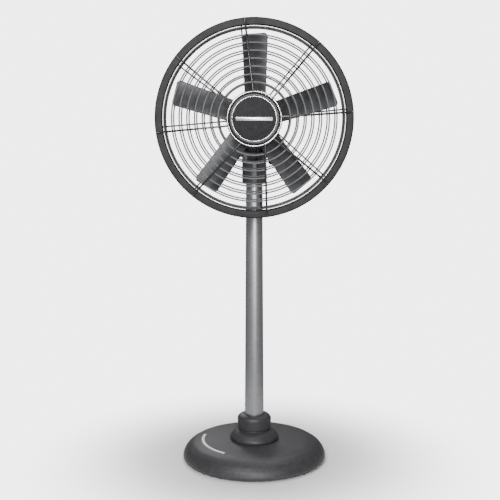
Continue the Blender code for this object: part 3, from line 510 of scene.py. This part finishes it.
add_camera()
add_floor()
add_surroundings()
add_lamp("key_lamp", (-1.1, -3.2, 2.5), (0.0, 0.0, 0.9), 1.2, 95.0)
add_lamp("front_lamp", (0.3, -3.9, 1.7), (0.0, 0.0, 0.8), 0.7, 95.0)
add_lamp("top_lamp", (0.2, 0.9, 3.2), (0.0, 0.0, 0.9), 1.4, 45.0)
add_lamp("low_lamp", (0.5, -3.2, 0.7), (0.0, 0.0, 0.2), 0.9, 15.0)
add_lamp("rear_lamp", (-0.9, 3.2, 2.4), (0.0, 0.0, 0.9), 1.4, 32.0)

# ---------------------------------------------------------------- stand


def pillar_radius(z):
    share = (z - pillar_low.z) / (pillar_high.z - pillar_low.z)
    return PILLAR_LOW_R + share * (PILLAR_TOP_R - PILLAR_LOW_R)


def make_base():
    low = base_low.z
    top = base_high.z
    corners = [
        (0.0298, top, 0), (0.0960, top, 0.050), (0.2050, top - 0.0027, 0.080), (0.2330, top - 0.0098, 0.050),
        (0.2530, top - 0.0222, 0.035), (0.2665, top - 0.0400, 0.035), (base_high.x + 0.0004, 0.0180, 0.014),
        (0.2700, low + 0.0040, 0.004), (0.2620, low, 0.002), (0.2430, low, 0.001),
        (0.2430, low + 0.0320, 0.008),
        (0.2300, low + 0.0480, 0.012), (0.2150, low + 0.0565, 0.016), (0.1800, low + 0.0625, 0.020),
        (0.0640, low + 0.0650, 0.005), (0.0600, low + 0.0480, 0.002), (0.0298, low + 0.0480, 0),
    ]
    piece("base_shell", turned(corners, 160), IRON_ENAMEL, "stand", ["base_casting"])


def make_feet():
    for index in range(4):
        node = f"rubber_foot_{index + 1}"
        low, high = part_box(node)
        centre = (low + high) / 2
        radius = (high.x - low.x) / 2
        corners = [(0.0, 0.0006, 0), (radius * 0.55, 0.0006, 0.0005), (radius * 0.62, 0.0, 0.0004),
                   (radius * 0.95, 0.0, 0.0010), (radius, high.z, 0.0003), (0.0, high.z, 0)]
        foot = placed(turned(corners, 40, False, 3), Matrix.Translation((centre.x, centre.y, 0.0)))
        piece(f"foot_pad_{index + 1}", foot, RUBBER, "stand", [node])


def make_base_strip():
    """A plain arc of white strip, rounded along its top edges, that follows the slope of the base."""
    radius = 0.196
    half_width = 0.0050
    start = math.radians(166.0)
    end = math.radians(236.0)
    low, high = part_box("base_emblem_strip")
    slope = -(high.z - low.z - 0.0016) / (2 * half_width)
    height = (low.z + high.z) / 2
    corners = [(-half_width, -0.0006, 0), (half_width, -0.0006, 0), (half_width, 0.0007, 0.0006),
               (-half_width, 0.0007, 0.0006)]
    bm = bmesh.new()
    points = rounded_outline(corners, 3)
    verts = [bm.verts.new((radius + point.x, 0.0, height + point.y + slope * point.x)) for point in points]
    bm.faces.new(verts)
    bmesh.ops.rotate(bm, cent=(0, 0, 0), matrix=Matrix.Rotation(start, 3, "Z"), verts=bm.verts)
    bmesh.ops.spin(bm, geom=bm.faces[:], axis=(0, 0, 1), cent=(0, 0, 0), dvec=(0, 0, 0),
                   angle=end - start, steps=48, use_merge=False, use_duplicate=False)
    piece("base_white_strip", bm, WHITE_VINYL, "stand", ["base_emblem_strip"])


def make_flange():
    low = flange_low.z
    seat = base_high.z + 0.0003
    top = flange_high.z
    corners = [
        (0.0200, low, 0.001), (0.0294, low, 0.001), (0.0294, seat, 0), (0.0897, seat, 0.0008),
        (0.0924, seat + 0.0068, 0.006), (0.0903, seat + 0.0148, 0.012), (0.0790, top - 0.0135, 0.020),
        (0.0695, top - 0.0070, 0.016), (0.0600, top - 0.0030, 0.002), (0.0585, top, 0.0005),
        (0.0200, top, 0),
    ]
    piece("flange_boss", turned(corners, 128), IRON_ENAMEL, "stand", ["pillar_flange"])
    nut_low, nut_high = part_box("base_lock_nut")
    hole_r = 0.0302
    nut = hexagon(nut_high.x, nut_high.z - nut_low.z, nut_low.z, 0.0015)
    piece("lock_nut", nut, ZINC, "stand", ["base_lock_nut"])
    washer_low, washer_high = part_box("base_washer")
    washer = turned([(hole_r, washer_low.z, 0.0005), (washer_high.x, washer_low.z, 0.0008),
                     (washer_high.x, washer_high.z, 0.0008), (hole_r, washer_high.z, 0.0005)], 64, True, 2)
    piece("lock_washer", washer, ZINC, "stand", ["base_washer"])


def make_collar():
    low = collar_low.z
    top = collar_high.z
    outer = collar_high.x
    bore = pillar_radius(low) + 0.0004
    corners = [
        (bore, low, 0.0005), (outer - 0.0028, low, 0.0010), (outer, low + 0.0040, 0.004),
        (outer, top - 0.0160, 0.012), (0.0592, top - 0.0076, 0.012), (0.0520, top - 0.0034, 0.016),
        (0.0440, top - 0.0010, 0.004), (bore, top, 0.0006),
    ]
    piece("collar_ring", turned(corners, 128, True, 6), IRON_ENAMEL, "stand",
          ["pillar_collar"])
    set_low, set_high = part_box("collar_screw")
    head_start = Matrix.Translation((0.0, outer + 0.0003, (set_low.z + set_high.z) / 2)) @ TO_REAR
    shank = turned([(0.0, -0.026, 0), (0.0042, -0.026, 0.001), (0.0048, -0.020, 0), (0.0048, 0.001, 0),
                    (0.0, 0.001, 0)], 32, False, 2)
    screw = placed(together(shank, hexagon(0.0088, 0.0065)), head_start)
    piece("collar_set_screw", screw, ZINC, "stand", ["collar_screw"])


def make_pillar():
    low = pillar_low.z
    top = pillar_high.z
    inner_low = PILLAR_LOW_R - PILLAR_WALL
    inner_top = PILLAR_TOP_R - PILLAR_WALL
    corners = [(inner_low, low, 0), (PILLAR_LOW_R, low, 0.0005), (PILLAR_TOP_R, top, 0.0010),
               (inner_top, top, 0.0008)]
    piece("pillar_column", turned(corners, 128), TUBE_PAINT, "stand", ["pillar_tube"])
    bore = pillar_radius(stop_low.z) + 0.0004
    collar = [(bore, stop_low.z, 0.0005), (NECK_R, stop_low.z, 0.0022), (NECK_R, stop_high.z, 0.0008),
              (bore, stop_high.z, 0.0005)]
    piece("stop_ring", turned(collar, 128), CASTING_ENAMEL, "stand", ["stop_collar"])


# ---------------------------------------------------------------- neck, screw and lever


def make_neck():
    """The socket, two rounded ears for the tilt bolt, and a web between them at the rear."""
    low = stop_high.z + 0.0003
    top = 1.1345
    ceiling = 1.1285
    bore = pillar_radius(low) + 0.0012
    body = turned([(0.0, ceiling, 0), (bore, ceiling, 0.001), (bore, low, 0.0008), (NECK_R, low, 0.0010),
                   (NECK_R, top, 0.0050), (0.0, top, 0)], 128, False)
    ear_r = 0.0225
    inner_x = 0.0240
    outer_x = 0.0448
    parts = [body]
    for side in (-1, 1):
        corners = [(-ear_r, -0.0260, 0), (ear_r, -0.0260, 0), (ear_r, ear_r, ear_r), (-ear_r, ear_r, ear_r)]
        ear = slab(corners, outer_x - inner_x, 0.0016, 12)
        turn = Matrix.Translation((side * (inner_x + outer_x) / 2, 0.0, TILT_Z))
        upright = Matrix.Rotation(math.radians(90.0), 4, "Z") @ Matrix.Rotation(math.radians(90.0), 4, "X")
        parts.append(placed(ear, turn @ upright))
    parts.append(block(NECK_WEB_SIZE, NECK_WEB_MIDDLE, 0.0020))
    piece("neck_casting", together(*parts), CASTING_ENAMEL, "neck", ["neck_socket"])
    refinish(BRASS, "thrust_washer")


def make_tilt_bolt():
    bolt_start = Matrix.Translation((-0.0451, 0.0, TILT_Z)) @ Matrix.Rotation(math.radians(-90.0), 4, "Y")
    shank = turned([(0.0, -0.1008, 0), (0.0050, -0.1008, 0.001), (0.0059, -0.0975, 0), (0.0059, 0.001, 0),
                    (0.0, 0.001, 0)], 40, False, 2)
    bolt = placed(together(shank, hexagon(0.0110, 0.0072)), bolt_start)
    piece("tilt_pivot_bolt", bolt, ZINC, "neck", ["tilt_bolt"])
    low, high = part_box("tilt_washer")
    washer = turned([(0.0062, 0.0, 0.0003), (0.0125, 0.0, 0.0006), (0.0125, high.x - low.x, 0.0006),
                     (0.0062, high.x - low.x, 0.0003)], 48, True, 2)
    start = Matrix.Translation((low.x, 0.0, TILT_Z)) @ TO_RIGHT
    piece("tilt_spacer", placed(washer, start), ZINC, "neck", ["tilt_washer"])


def make_lever():
    """The clamp lever: a solid domed boss over the bolt's end, a cranked rod and a ball grip."""
    start_x = lever_low.x
    boss = turned([(0.0, 0.0, 0), (0.0130, 0.0, 0.0010), (0.0130, 0.0110, 0.003), (0.0085, 0.0130, 0.002),
                   (0.0, 0.0130, 0)], 64, False)
    boss = placed(boss, Matrix.Translation((start_x, 0.0, TILT_Z)) @ TO_RIGHT)
    arm = bent_rod([(start_x + 0.0065, 0.004, TILT_Z), (start_x + 0.0088, 0.020, TILT_Z - 0.0060),
                    (start_x + 0.0110, 0.036, TILT_Z - 0.0130), (start_x + 0.0150, 0.066, TILT_Z - 0.0260)],
                    0.0048)
    piece("lever_arm", together(boss, arm), ZINC, "lever", ["tilt_lock_lever"])
    ball = turned([(0.0, -0.0112, 0), (0.0055, -0.0112, 0.001), (0.0112, -0.0060, 0.006),
                   (0.0112, 0.0060, 0.006),
                   (0.0060, 0.0113, 0.006), (0.0, 0.0113, 0)], 48, False, 6)
    direction = Vector((0.0040, 0.030, -0.0130)).to_track_quat("Z", "Y").to_matrix().to_4x4()
    ball = placed(ball, Matrix.Translation((start_x + 0.0158, 0.0695, TILT_Z - 0.0278)) @ direction)
    piece("lever_grip", ball, MOULDED_ABS, "lever")


def make_lock_screw():
    """A set screw with a flat bar head."""
    height = (screw_low.z + screw_high.z) / 2
    shank = turned([(0.0, -0.0120, 0), (0.0042, -0.0120, 0.001), (0.0049, -0.0100, 0), (0.0049, 0.001, 0),
                    (0.0060, 0.001, 0.0004), (0.0060, 0.0032, 0.0006), (0.0, 0.0032, 0)], 40, False, 2)
    bar = block((0.0206, 0.0122, 0.0068), (0.0, 0.0, 0.0062), 0.0012)
    start = Matrix.Translation((0.0, -NECK_R - 0.0008, height)) @ TO_FRONT
    piece("swivel_bar_screw", placed(together(shank, bar), start), CAST_ALUMINIUM, "lock_screw",
          ["swivel_lock_screw"])


# ---------------------------------------------------------------- motor


def make_motor_foot():
    """The knuckle between the ears, the block and plate under the motor, and a gusset at the rear."""
    foot_low, foot_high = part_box("motor_foot")
    half = 0.0234
    bar = turned([(0.0062, -half, 0.0004), (0.0225, -half, 0.0010), (0.0225, half, 0.0010),
                  (0.0062, half, 0.0004)], 72)
    knuckle = placed(bar, Matrix.Translation((0.0, 0.0, TILT_Z)) @ TO_RIGHT)
    saddle = block((0.0460, 0.0320, 0.0500), (0.0, 0.0, TILT_Z + 0.0340), 0.0040)
    width = foot_high.x - foot_low.x
    length = foot_high.y - foot_low.y
    plate_low = TILT_Z + 0.0236
    plate_top = HUB_Z - 0.0700
    plate = block((width, length, plate_top - plate_low),
                  (0.0, (foot_low.y + foot_high.y) / 2, (plate_low + plate_top) / 2), 0.0030, 4)
    gusset_low = TILT_Z - 0.0020
    gusset = block((0.0600, 0.0060, plate_top - 0.0100 - gusset_low),
                   (0.0, foot_high.y - 0.0040, (plate_top - 0.0100 + gusset_low) / 2), 0.0020)
    piece("knuckle_and_saddle", together(knuckle, saddle, plate, gusset), CASTING_ENAMEL, "head",
          ["motor_foot"])


def make_finned_frame():
    """The motor's frame: a solid bar with cooling fins, whose plain ends the end shields cover."""
    fins = 18
    step = math.tau / fins
    corners = []
    for index in range(fins):
        for offset, radius, rounding in ((-0.34, 0.080, 0.0030), (-0.13, 0.0888, 0.0016),
                                         (0.13, 0.0888, 0.0016),
                                         (0.34, 0.080, 0.0030)):
            angle = (index + offset) * step
            corners.append((radius * math.cos(angle), radius * math.sin(angle), rounding))
    length = stator_high.y - stator_low.y
    tube = slab(corners, length - 0.0002, 0.0008, 3)
    bands = []
    for side in (-1, 1):
        middle = side * (length / 2 - 0.0060)
        bands.append(turned([(0.070, middle - 0.0050, 0), (0.0858, middle - 0.0050, 0.0010),
                             (0.0858, middle + 0.0050, 0.0010), (0.070, middle + 0.0050, 0)], 96))
    whole = placed(together(tube, *bands), ALONG_FAN)
    piece("finned_tube", whole, CASTING_ENAMEL, "head", ["stator_frame"])


def make_shields():
    """The motor's two end shields; the front one's boss holds the shaft's front bearing."""
    front_low, front_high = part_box("front_shield")
    face = -front_low.y - 0.0030
    back = -front_high.y
    front = turned([
        (0.0090, face + 0.0030, 0.0006), (0.0300, face + 0.0030, 0.0012), (0.0330, face, 0.0015),
        (0.0720, face, 0.0030), (0.0800, face - 0.0040, 0.0040), (0.0840, back + 0.0040, 0.0015),
        (0.0840, back, 0.0006),
        (0.0600, back, 0), (0.0560, face - 0.0050, 0.002), (0.0270, face - 0.0050, 0.002),
        (0.0270, back - 0.0060, 0),
        (0.0203, back - 0.0060, 0), (0.0203, face - 0.0020, 0), (0.0090, face - 0.0020, 0.0005)], 96)
    piece("front_end_shield", placed(front, ALONG_FAN), CAST_ALUMINIUM, "head",
          ["front_shield"])
    rear_low, rear_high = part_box("rear_shield")
    start = -rear_low.y
    end = -rear_high.y
    rear = turned([
        (0.0, end, 0), (0.0650, end, 0.002), (0.0705, end + 0.0012, 0.003), (0.0790, end + 0.0065, 0.005),
        (0.0840, start - 0.0045, 0.0025), (0.0840, start, 0.0005), (0.0640, start, 0),
        (0.0600, end + 0.0065, 0.002),
        (0.0270, end + 0.0065, 0.002), (0.0270, start + 0.0060, 0), (0.0203, start + 0.0060, 0),
        (0.0203, end + 0.0030, 0), (0.0, end + 0.0030, 0)], 96, False)
    bolts = []
    for index in range(4):
        angle = math.radians(45.0 + 90.0 * index)
        place = (0.0745 * math.cos(angle), 0.0745 * math.sin(angle), end + 0.0010)
        flip = Matrix.Rotation(math.pi, 4, "X")
        bolts.append(placed(hexagon(0.0052, 0.0034), Matrix.Translation(place) @ flip))
    piece("rear_end_shield", placed(rear, ALONG_FAN), CASTING_ENAMEL, "head", ["rear_shield"])
    piece("shield_bolts", placed(together(*bolts), ALONG_FAN), ZINC, "head")
    refinish(LAMINATIONS, "stator_core", "rotor_core")
    refinish(COPPER, "winding_front", "winding_rear")
    refinish(GROUND_STEEL, "front_bearing", "rear_bearing")


def make_switch_box():
    """The box on the rear shield, its lid with four screws and four dial marks, and the capacitor's finish.
    """
    middle = (box_low + box_high) / 2
    size = box_high - box_low
    piece("switch_housing", block(size, middle, 0.0045, 4), CASTING_ENAMEL, "head",
          ["switch_box"])
    lid_middle = (lid_low + lid_high) / 2
    lid_size = lid_high - lid_low
    lid = block(lid_size, lid_middle, 0.0014, 3)
    piece("switch_lid", lid, MOULDED_ABS, "head", ["switch_box_lid"])
    screws = []
    for side_x in (-1, 1):
        for side_z in (-1, 1):
            place = (side_x * (lid_size.x / 2 - 0.0060), lid_high.y - 0.0002,
                     HUB_Z + side_z * (lid_size.z / 2 - 0.0060))
            screws.append(placed(pan_head(0.0028, 0.0012), Matrix.Translation(place) @ TO_REAR))
    piece("lid_screws", together(*screws), ZINC, "head")
    knob_z = (knob_low.z + knob_high.z) / 2
    marks = []
    for index in range(4):
        angle = math.radians(-157.5 + 45.0 * index)
        place = Vector((0.0190 * math.cos(angle), lid_high.y, knob_z - 0.0190 * math.sin(angle)))
        mark = turned([(0.0, -0.0004, 0), (0.0012, -0.0004, 0), (0.0012, 0.0002, 0.0001), (0.0, 0.0002, 0)],
                      20, False, 2)
        marks.append(placed(mark, Matrix.Translation(place) @ TO_REAR))
    piece("dial_marks", together(*marks), WHITE_VINYL, "head")
    refinish(CAPACITOR_CAN, "capacitor")


def make_gland():
    low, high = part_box("cable_gland")
    middle = (low + high) / 2
    seat = box_low.z
    nut = hexagon(0.0104, 0.0052, -0.0056, 0.0005)
    cap = turned([(0.0036, -0.0180, 0.0004), (0.0075, -0.0180, 0.0012), (0.0095, -0.0125, 0.0020),
                  (0.0095, -0.0060, 0.0006), (0.0036, -0.0060, 0)], 48, True, 3)
    thread = turned([(0.0036, -0.0062, 0), (0.0068, -0.0062, 0), (0.0068, 0.0028, 0.0005),
                     (0.0036, 0.0028, 0)], 48, True, 2)
    gland = placed(together(nut, cap, thread), Matrix.Translation((middle.x, middle.y, seat)))
    piece("gland_body", gland, MOULDED_ABS, "head", ["cable_gland"])


def make_knob():
    """A fluted knob with a pointer bar and a white line on it."""
    knob_z = (knob_low.z + knob_high.z) / 2
    start = Matrix.Translation((0.0, lid_high.y + 0.0003, knob_z)) @ TO_REAR
    skirt = turned([(0.0, 0.0, 0), (0.0148, 0.0, 0.0006), (0.0150, 0.0050, 0.0015), (0.0118, 0.0060, 0.0010),
                    (0.0, 0.0060, 0)], 64, False, 4)
    flutes = 16
    corners = []
    for index in range(flutes * 2):
        angle = math.pi * index / flutes
        radius = 0.0111 if index % 2 == 0 else 0.0104
        corners.append((radius * math.cos(angle), radius * math.sin(angle), 0.0008))
    grip = placed(slab(corners, 0.0080, 0.0006, 3), Matrix.Translation((0.0, 0.0, 0.0090)))
    pointer = block((0.0040, 0.0246, 0.0085), (0.0, 0.0, 0.0096), 0.0012)
    piece("knob_body", placed(together(skirt, grip, pointer), start), MOULDED_ABS, "knob",
          ["speed_knob"])
    line = block((0.0010, 0.0100, 0.0006), (0.0, 0.0060, 0.0139), 0.0002, 2)
    piece("knob_line", placed(line, start), WHITE_VINYL, "knob")


# ---------------------------------------------------------------- rotor and blades


def on_circle(radius, angle, y):
    return Vector((radius * math.cos(angle), y, HUB_Z + radius * math.sin(angle)))


def blade_frame(angle, radius, pitch):
    """x across the chord, y through the thickness towards the rear, z along the blade."""
    radial = Vector((math.cos(angle), 0.0, math.sin(angle)))
    clockwise = Vector((math.sin(angle), 0.0, -math.cos(angle)))
    chord = clockwise * math.cos(pitch) + Vector((0.0, math.sin(pitch), 0.0))
    matrix = Matrix((chord, radial.cross(chord), radial)).transposed().to_4x4()
    matrix.translation = on_circle(radius, angle, BLADE_Y)
    return matrix


def pitch_at(radius):
    share = (radius - BLADE_ROOT_R) / (TIP_R - BLADE_ROOT_R)
    return PITCH_ROOT + share * (PITCH_TIP - PITCH_ROOT)


def make_blade(index):
    """A pressed blade: dished towards the front, twisted, with rounded tip corners and soft edges."""
    angle = BLADE_START - math.tau * index / BLADE_COUNT
    corner = 0.014
    bm = bmesh.new()
    bmesh.ops.create_grid(bm, x_segments=24, y_segments=44, size=0.5)
    for vert in bm.verts:
        across = vert.co.x * 2.0
        share = vert.co.y + 0.5
        radius = BLADE_ROOT_R + share * (TIP_R - BLADE_ROOT_R)
        chord = CHORD_ROOT + share * (CHORD_TIP - CHORD_ROOT)
        radius -= TIP_SLANT * share ** 2 * (1.0 - across) / 2
        from_side = (1.0 - abs(across)) * chord / 2
        if from_side < corner:
            rise = corner - math.sqrt(max(corner ** 2 - (corner - from_side) ** 2, 0.0))
            radius -= rise * max(0.0, (share - 0.86) / 0.14) ** 2
            root_rise = rise * max(0.0, (0.10 - share) / 0.10) ** 2
            radius += root_rise * 0.6
        depth = CAMBER * (1.0 - across ** 2) - 0.006
        vert.co = blade_frame(angle, radius, pitch_at(radius)) @ Vector((across * chord / 2, depth, 0.0))
    bmesh.ops.recalc_face_normals(bm, faces=bm.faces)
    bmesh.ops.solidify(bm, geom=bm.faces[:], thickness=SHEET)
    bmesh.ops.recalc_face_normals(bm, faces=bm.faces)
    bevel_edges(bm, 0.0007, 2, 60.0)
    piece(f"blade_panel_{index + 1}", bm, BLADE_PAINT, "rotor", [f"blade_{index + 1}"])


def make_blade_clamp(index):
    """A clamp strip with two domed rivets, on the front of each blade's root."""
    angle = BLADE_START - math.tau * index / BLADE_COUNT
    strip = block((0.0240, 0.0020, 0.0200), (0.0, 0.0, 0.0), 0.0006, 2)
    rivets = []
    for offset in (-0.006, 0.006):
        turn = Matrix.Translation((offset, -0.0009, 0.0)) @ TO_FRONT
        rivets.append(placed(pan_head(0.0036, 0.0018), turn))
    place = blade_frame(angle, CLAMP_R, pitch_at(CLAMP_R)) @ Matrix.Translation((0.0, -0.0052, 0.0))
    piece(f"clamp_strip_{index + 1}", placed(together(strip, *rivets), place), ZINC, "rotor",
          [f"blade_clamp_{index + 1}"])


def make_hub():
    """The turned boss, and a flat arm behind each blade."""
    middle = -BLADE_Y
    bore = 0.0083
    boss = turned([
        (bore, middle - 0.0200, 0.0006), (0.0240, middle - 0.0200, 0.0015),
        (0.0260, middle - 0.0050, 0.0030),
        (0.0480, middle - 0.0030, 0.0012), (0.0480, middle + 0.0030, 0.0012),
        (0.0260, middle + 0.0060, 0.0040),
        (0.0220, middle + 0.0225, 0.0018), (bore, middle + 0.0225, 0.0006)], 96)
    parts = [placed(boss, ALONG_FAN)]
    for index in range(BLADE_COUNT):
        angle = BLADE_START - math.tau * index / BLADE_COUNT
        place = blade_frame(angle, BLADE_ROOT_R,
                            pitch_at(BLADE_ROOT_R)) @ Matrix.Translation((0.0, 0.0083, 0.0))
        parts.append(placed(block((0.030, 0.0045, 0.064), (0.0, 0.0, 0.0), 0.0014), place))
    piece("spider_hub", together(*parts), CAST_ALUMINIUM, "rotor", ["blade_hub"])
    shaft_r = (shaft_high.x - shaft_low.x) / 2
    shaft = turned([(0.0, -shaft_high.y, 0), (shaft_r, -shaft_high.y, 0.0005),
                    (shaft_r, -shaft_low.y, 0.0012),
                    (0.0, -shaft_low.y, 0)], 48, False, 3)
    piece("ground_shaft", placed(shaft, ALONG_FAN), GROUND_STEEL, "rotor", ["motor_shaft"])
    nut_low, nut_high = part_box("hub_nut")
    nut = placed(hexagon(0.0150, nut_high.y - nut_low.y, -nut_high.y, 0.0010), ALONG_FAN)
    piece("hub_lock_nut", nut, ZINC, "rotor", ["hub_nut"])


# ---------------------------------------------------------------- guard


def front_dome_y(radius):
    return FRONT_GUARD_Y + FRONT_DOME * (radius / RIM_R) ** 3


def rear_dome_y(radius):
    return REAR_GUARD_Y - REAR_DOME * (radius / RIM_R) ** 5


def make_rim():
    """A rolled hoop of C section, open towards the axis."""
    inner = RIM_R - 0.0245
    front = -RIM_FRONT_Y
    rear = -RIM_REAR_Y
    wall = 0.0022
    corners = [
        (inner, rear, 0.0008), (RIM_R, rear, 0.0060), (RIM_R, front, 0.0060), (inner, front, 0.0008),
        (inner, front - wall, 0.0008), (RIM_R - wall, front - wall, 0.0040),
        (RIM_R - wall, rear + wall, 0.0040), (inner, rear + wall, 0.0008),
    ]
    piece("rolled_rim", placed(turned(corners, 192, True, 6), ALONG_FAN), HOOP_PAINT, "head",
          ["guard_rim"])


def rings(radii, dome_y, wire_r):
    parts = []
    for radius in radii:
        hoop = wire_ring(radius, wire_r, 120, 10)
        parts.append(placed(hoop, Matrix.Translation((0.0, dome_y(radius), 0.0)) @ ALONG_FAN))
    return parts


def rib_points(degrees, lean, inner_r, face_y, dome_y, side, rib_r):
    """The line of one rib: from the rim's face over the guard's dome; side is -1 in front and 1 behind."""
    angle = math.radians(degrees)
    lift = side * (WIRE_R + rib_r) * 0.72
    outer_r = RIM_R - 0.010
    points = [
        on_circle(RIM_R - 0.0008, angle, face_y + side * (rib_r + 0.0004)),
        on_circle(outer_r, angle, face_y + side * (rib_r + 0.0004)),
    ]
    start = on_circle(outer_r, angle, 0.0)
    end = on_circle(inner_r, angle + math.radians(lean), 0.0)
    steps = 9
    for index in range(1, steps + 1):
        point = start.lerp(end, index / steps)
        radius = math.hypot(point.x, point.z - HUB_Z)
        blend = min(1.0, index / 2.0)
        rim_y = face_y + side * (rib_r + 0.0004)
        point.y = rim_y + blend * (dome_y(radius) + lift - rim_y)
        points.append(point)
    return points


def make_guard():
    front_ribs = []
    rear_ribs = []
    for degrees, lean in FRONT_RIBS:
        line = rib_points(degrees, lean, BADGE_RING_R, RIM_FRONT_Y, front_dome_y, -1, FRONT_RIB_R)
        front_ribs.append(bent_rod(line, FRONT_RIB_R))
    for degrees, lean in REAR_RIBS:
        line = rib_points(degrees, lean, REAR_RIB_END_R, RIM_REAR_Y, rear_dome_y, 1, REAR_RIB_R)
        rear_ribs.append(bent_rod(line, REAR_RIB_R))
    heavy_ring = rings(FRONT_RINGS[-1:], front_dome_y, HEAVY_WIRE_R)
    piece("front_ribs", together(*front_ribs), LACQUERED_ROD, "head", ["guard_front"])
    piece("front_outer_ring", together(*heavy_ring), DIPPED_BLACK, "head", ["guard_front"])
    piece("rear_ribs", together(*rear_ribs), DIPPED_BLACK, "head", ["guard_rear"])
    piece("front_rings", together(*rings(FRONT_RINGS[:-1], front_dome_y, WIRE_R)), PAINTED_WIRE, "head",
          ["guard_front"])
    piece("rear_rings", together(*rings(REAR_RINGS, rear_dome_y, WIRE_R)), PAINTED_WIRE, "head",
          ["guard_rear"])
    piece("badge_wire_ring", together(*rings([BADGE_RING_R], front_dome_y, HEAVY_WIRE_R)), NICKEL, "head",
          ["guard_front"])
    plate_front = -REAR_GUARD_Y + 0.0016
    plate = turned([(0.0480, plate_front - 0.0040, 0.0008), (0.1000, plate_front - 0.0040, 0.0012),
                    (0.1000, plate_front, 0.0012), (0.0480, plate_front, 0.0008)], 128)
    piece("rear_guard_plate", placed(plate, ALONG_FAN), DIPPED_BLACK, "head", ["guard_rear"])
    for index in range(3):
        node = f"guard_screw_{index + 1}"
        low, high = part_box(node)
        middle = (low + high) / 2
        head = pan_head(0.0060, 0.0038)
        start = Matrix.Translation((middle.x, -plate_front - 0.0003, middle.z)) @ TO_FRONT
        piece(f"plate_screw_{index + 1}", placed(head, start), ZINC, "head", [node])


# ---------------------------------------------------------------- badge


def make_badge():
    front = -badge_low.y
    edge_r = 0.0872
    trim_r = 0.0775
    face_r = 0.0738
    flange = -badge_high.y
    dish = turned([
        (0.0, front, 0), (face_r - 0.0004, front, 0.0002), (face_r - 0.0004, front - 0.0010, 0),
        (trim_r + 0.0004, front - 0.0010, 0), (trim_r + 0.0004, front, 0.0002),
        (edge_r - 0.0030, front, 0.0030),
        (edge_r, front - 0.0030, 0.0030), (edge_r, flange + 0.0020, 0.0008),
        (0.0960, flange + 0.0020, 0.0006),
        (0.0960, flange, 0.0004), (edge_r - 0.0025, flange, 0), (edge_r - 0.0035, front - 0.0035, 0.001),
        (0.0, front - 0.0035, 0)], 128, False)
    piece("badge_housing", placed(dish, ALONG_FAN), SATIN_LACQUER, "head", ["badge_dish"])
    disc = turned([(0.0, front - 0.0008, 0), (face_r - 0.0008, front - 0.0008, 0),
                   (face_r - 0.0008, front + 0.0002, 0.0001),
                   (0.0, front + 0.0002, 0)], 128, False, 2)
    piece("badge_face", placed(disc, ALONG_FAN), CRACKLE_PAINT, "head")
    trim_low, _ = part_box("badge_trim_ring")
    trim_front = -trim_low.y
    trim = turned([(face_r, trim_front - 0.0032, 0), (trim_r, trim_front - 0.0032, 0),
                   (trim_r, trim_front, 0.0016),
                   (face_r, trim_front, 0.0016)], 128)
    piece("badge_bright_ring", placed(trim, ALONG_FAN), CHROME, "head", ["badge_trim_ring"])
    size = bar_high - bar_low
    middle = (bar_low + bar_high) / 2
    half_x = size.x / 2
    half_z = size.z / 2
    corners = [(-half_x, -half_z, 0.0030), (half_x, -half_z, 0.0030), (half_x, half_z, 0.0030),
               (-half_x, half_z, 0.0030)]
    bar = slab(corners, size.y, 0.0009, 4)
    piece("badge_plain_bar", placed(bar, Matrix.Translation(middle) @ TO_FRONT), BRUSHED_BAR, "head",
          ["badge_name_bar"])


# ---------------------------------------------------------------- the whole fan

make_base()
make_feet()
make_base_strip()
make_flange()
make_collar()
make_pillar()
make_neck()
make_tilt_bolt()
make_lever()
make_lock_screw()
make_motor_foot()
make_finned_frame()
make_shields()
make_switch_box()
make_gland()
make_knob()
for blade in range(BLADE_COUNT):
    make_blade(blade)
    make_blade_clamp(blade)
make_hub()
make_rim()
make_guard()
make_badge()
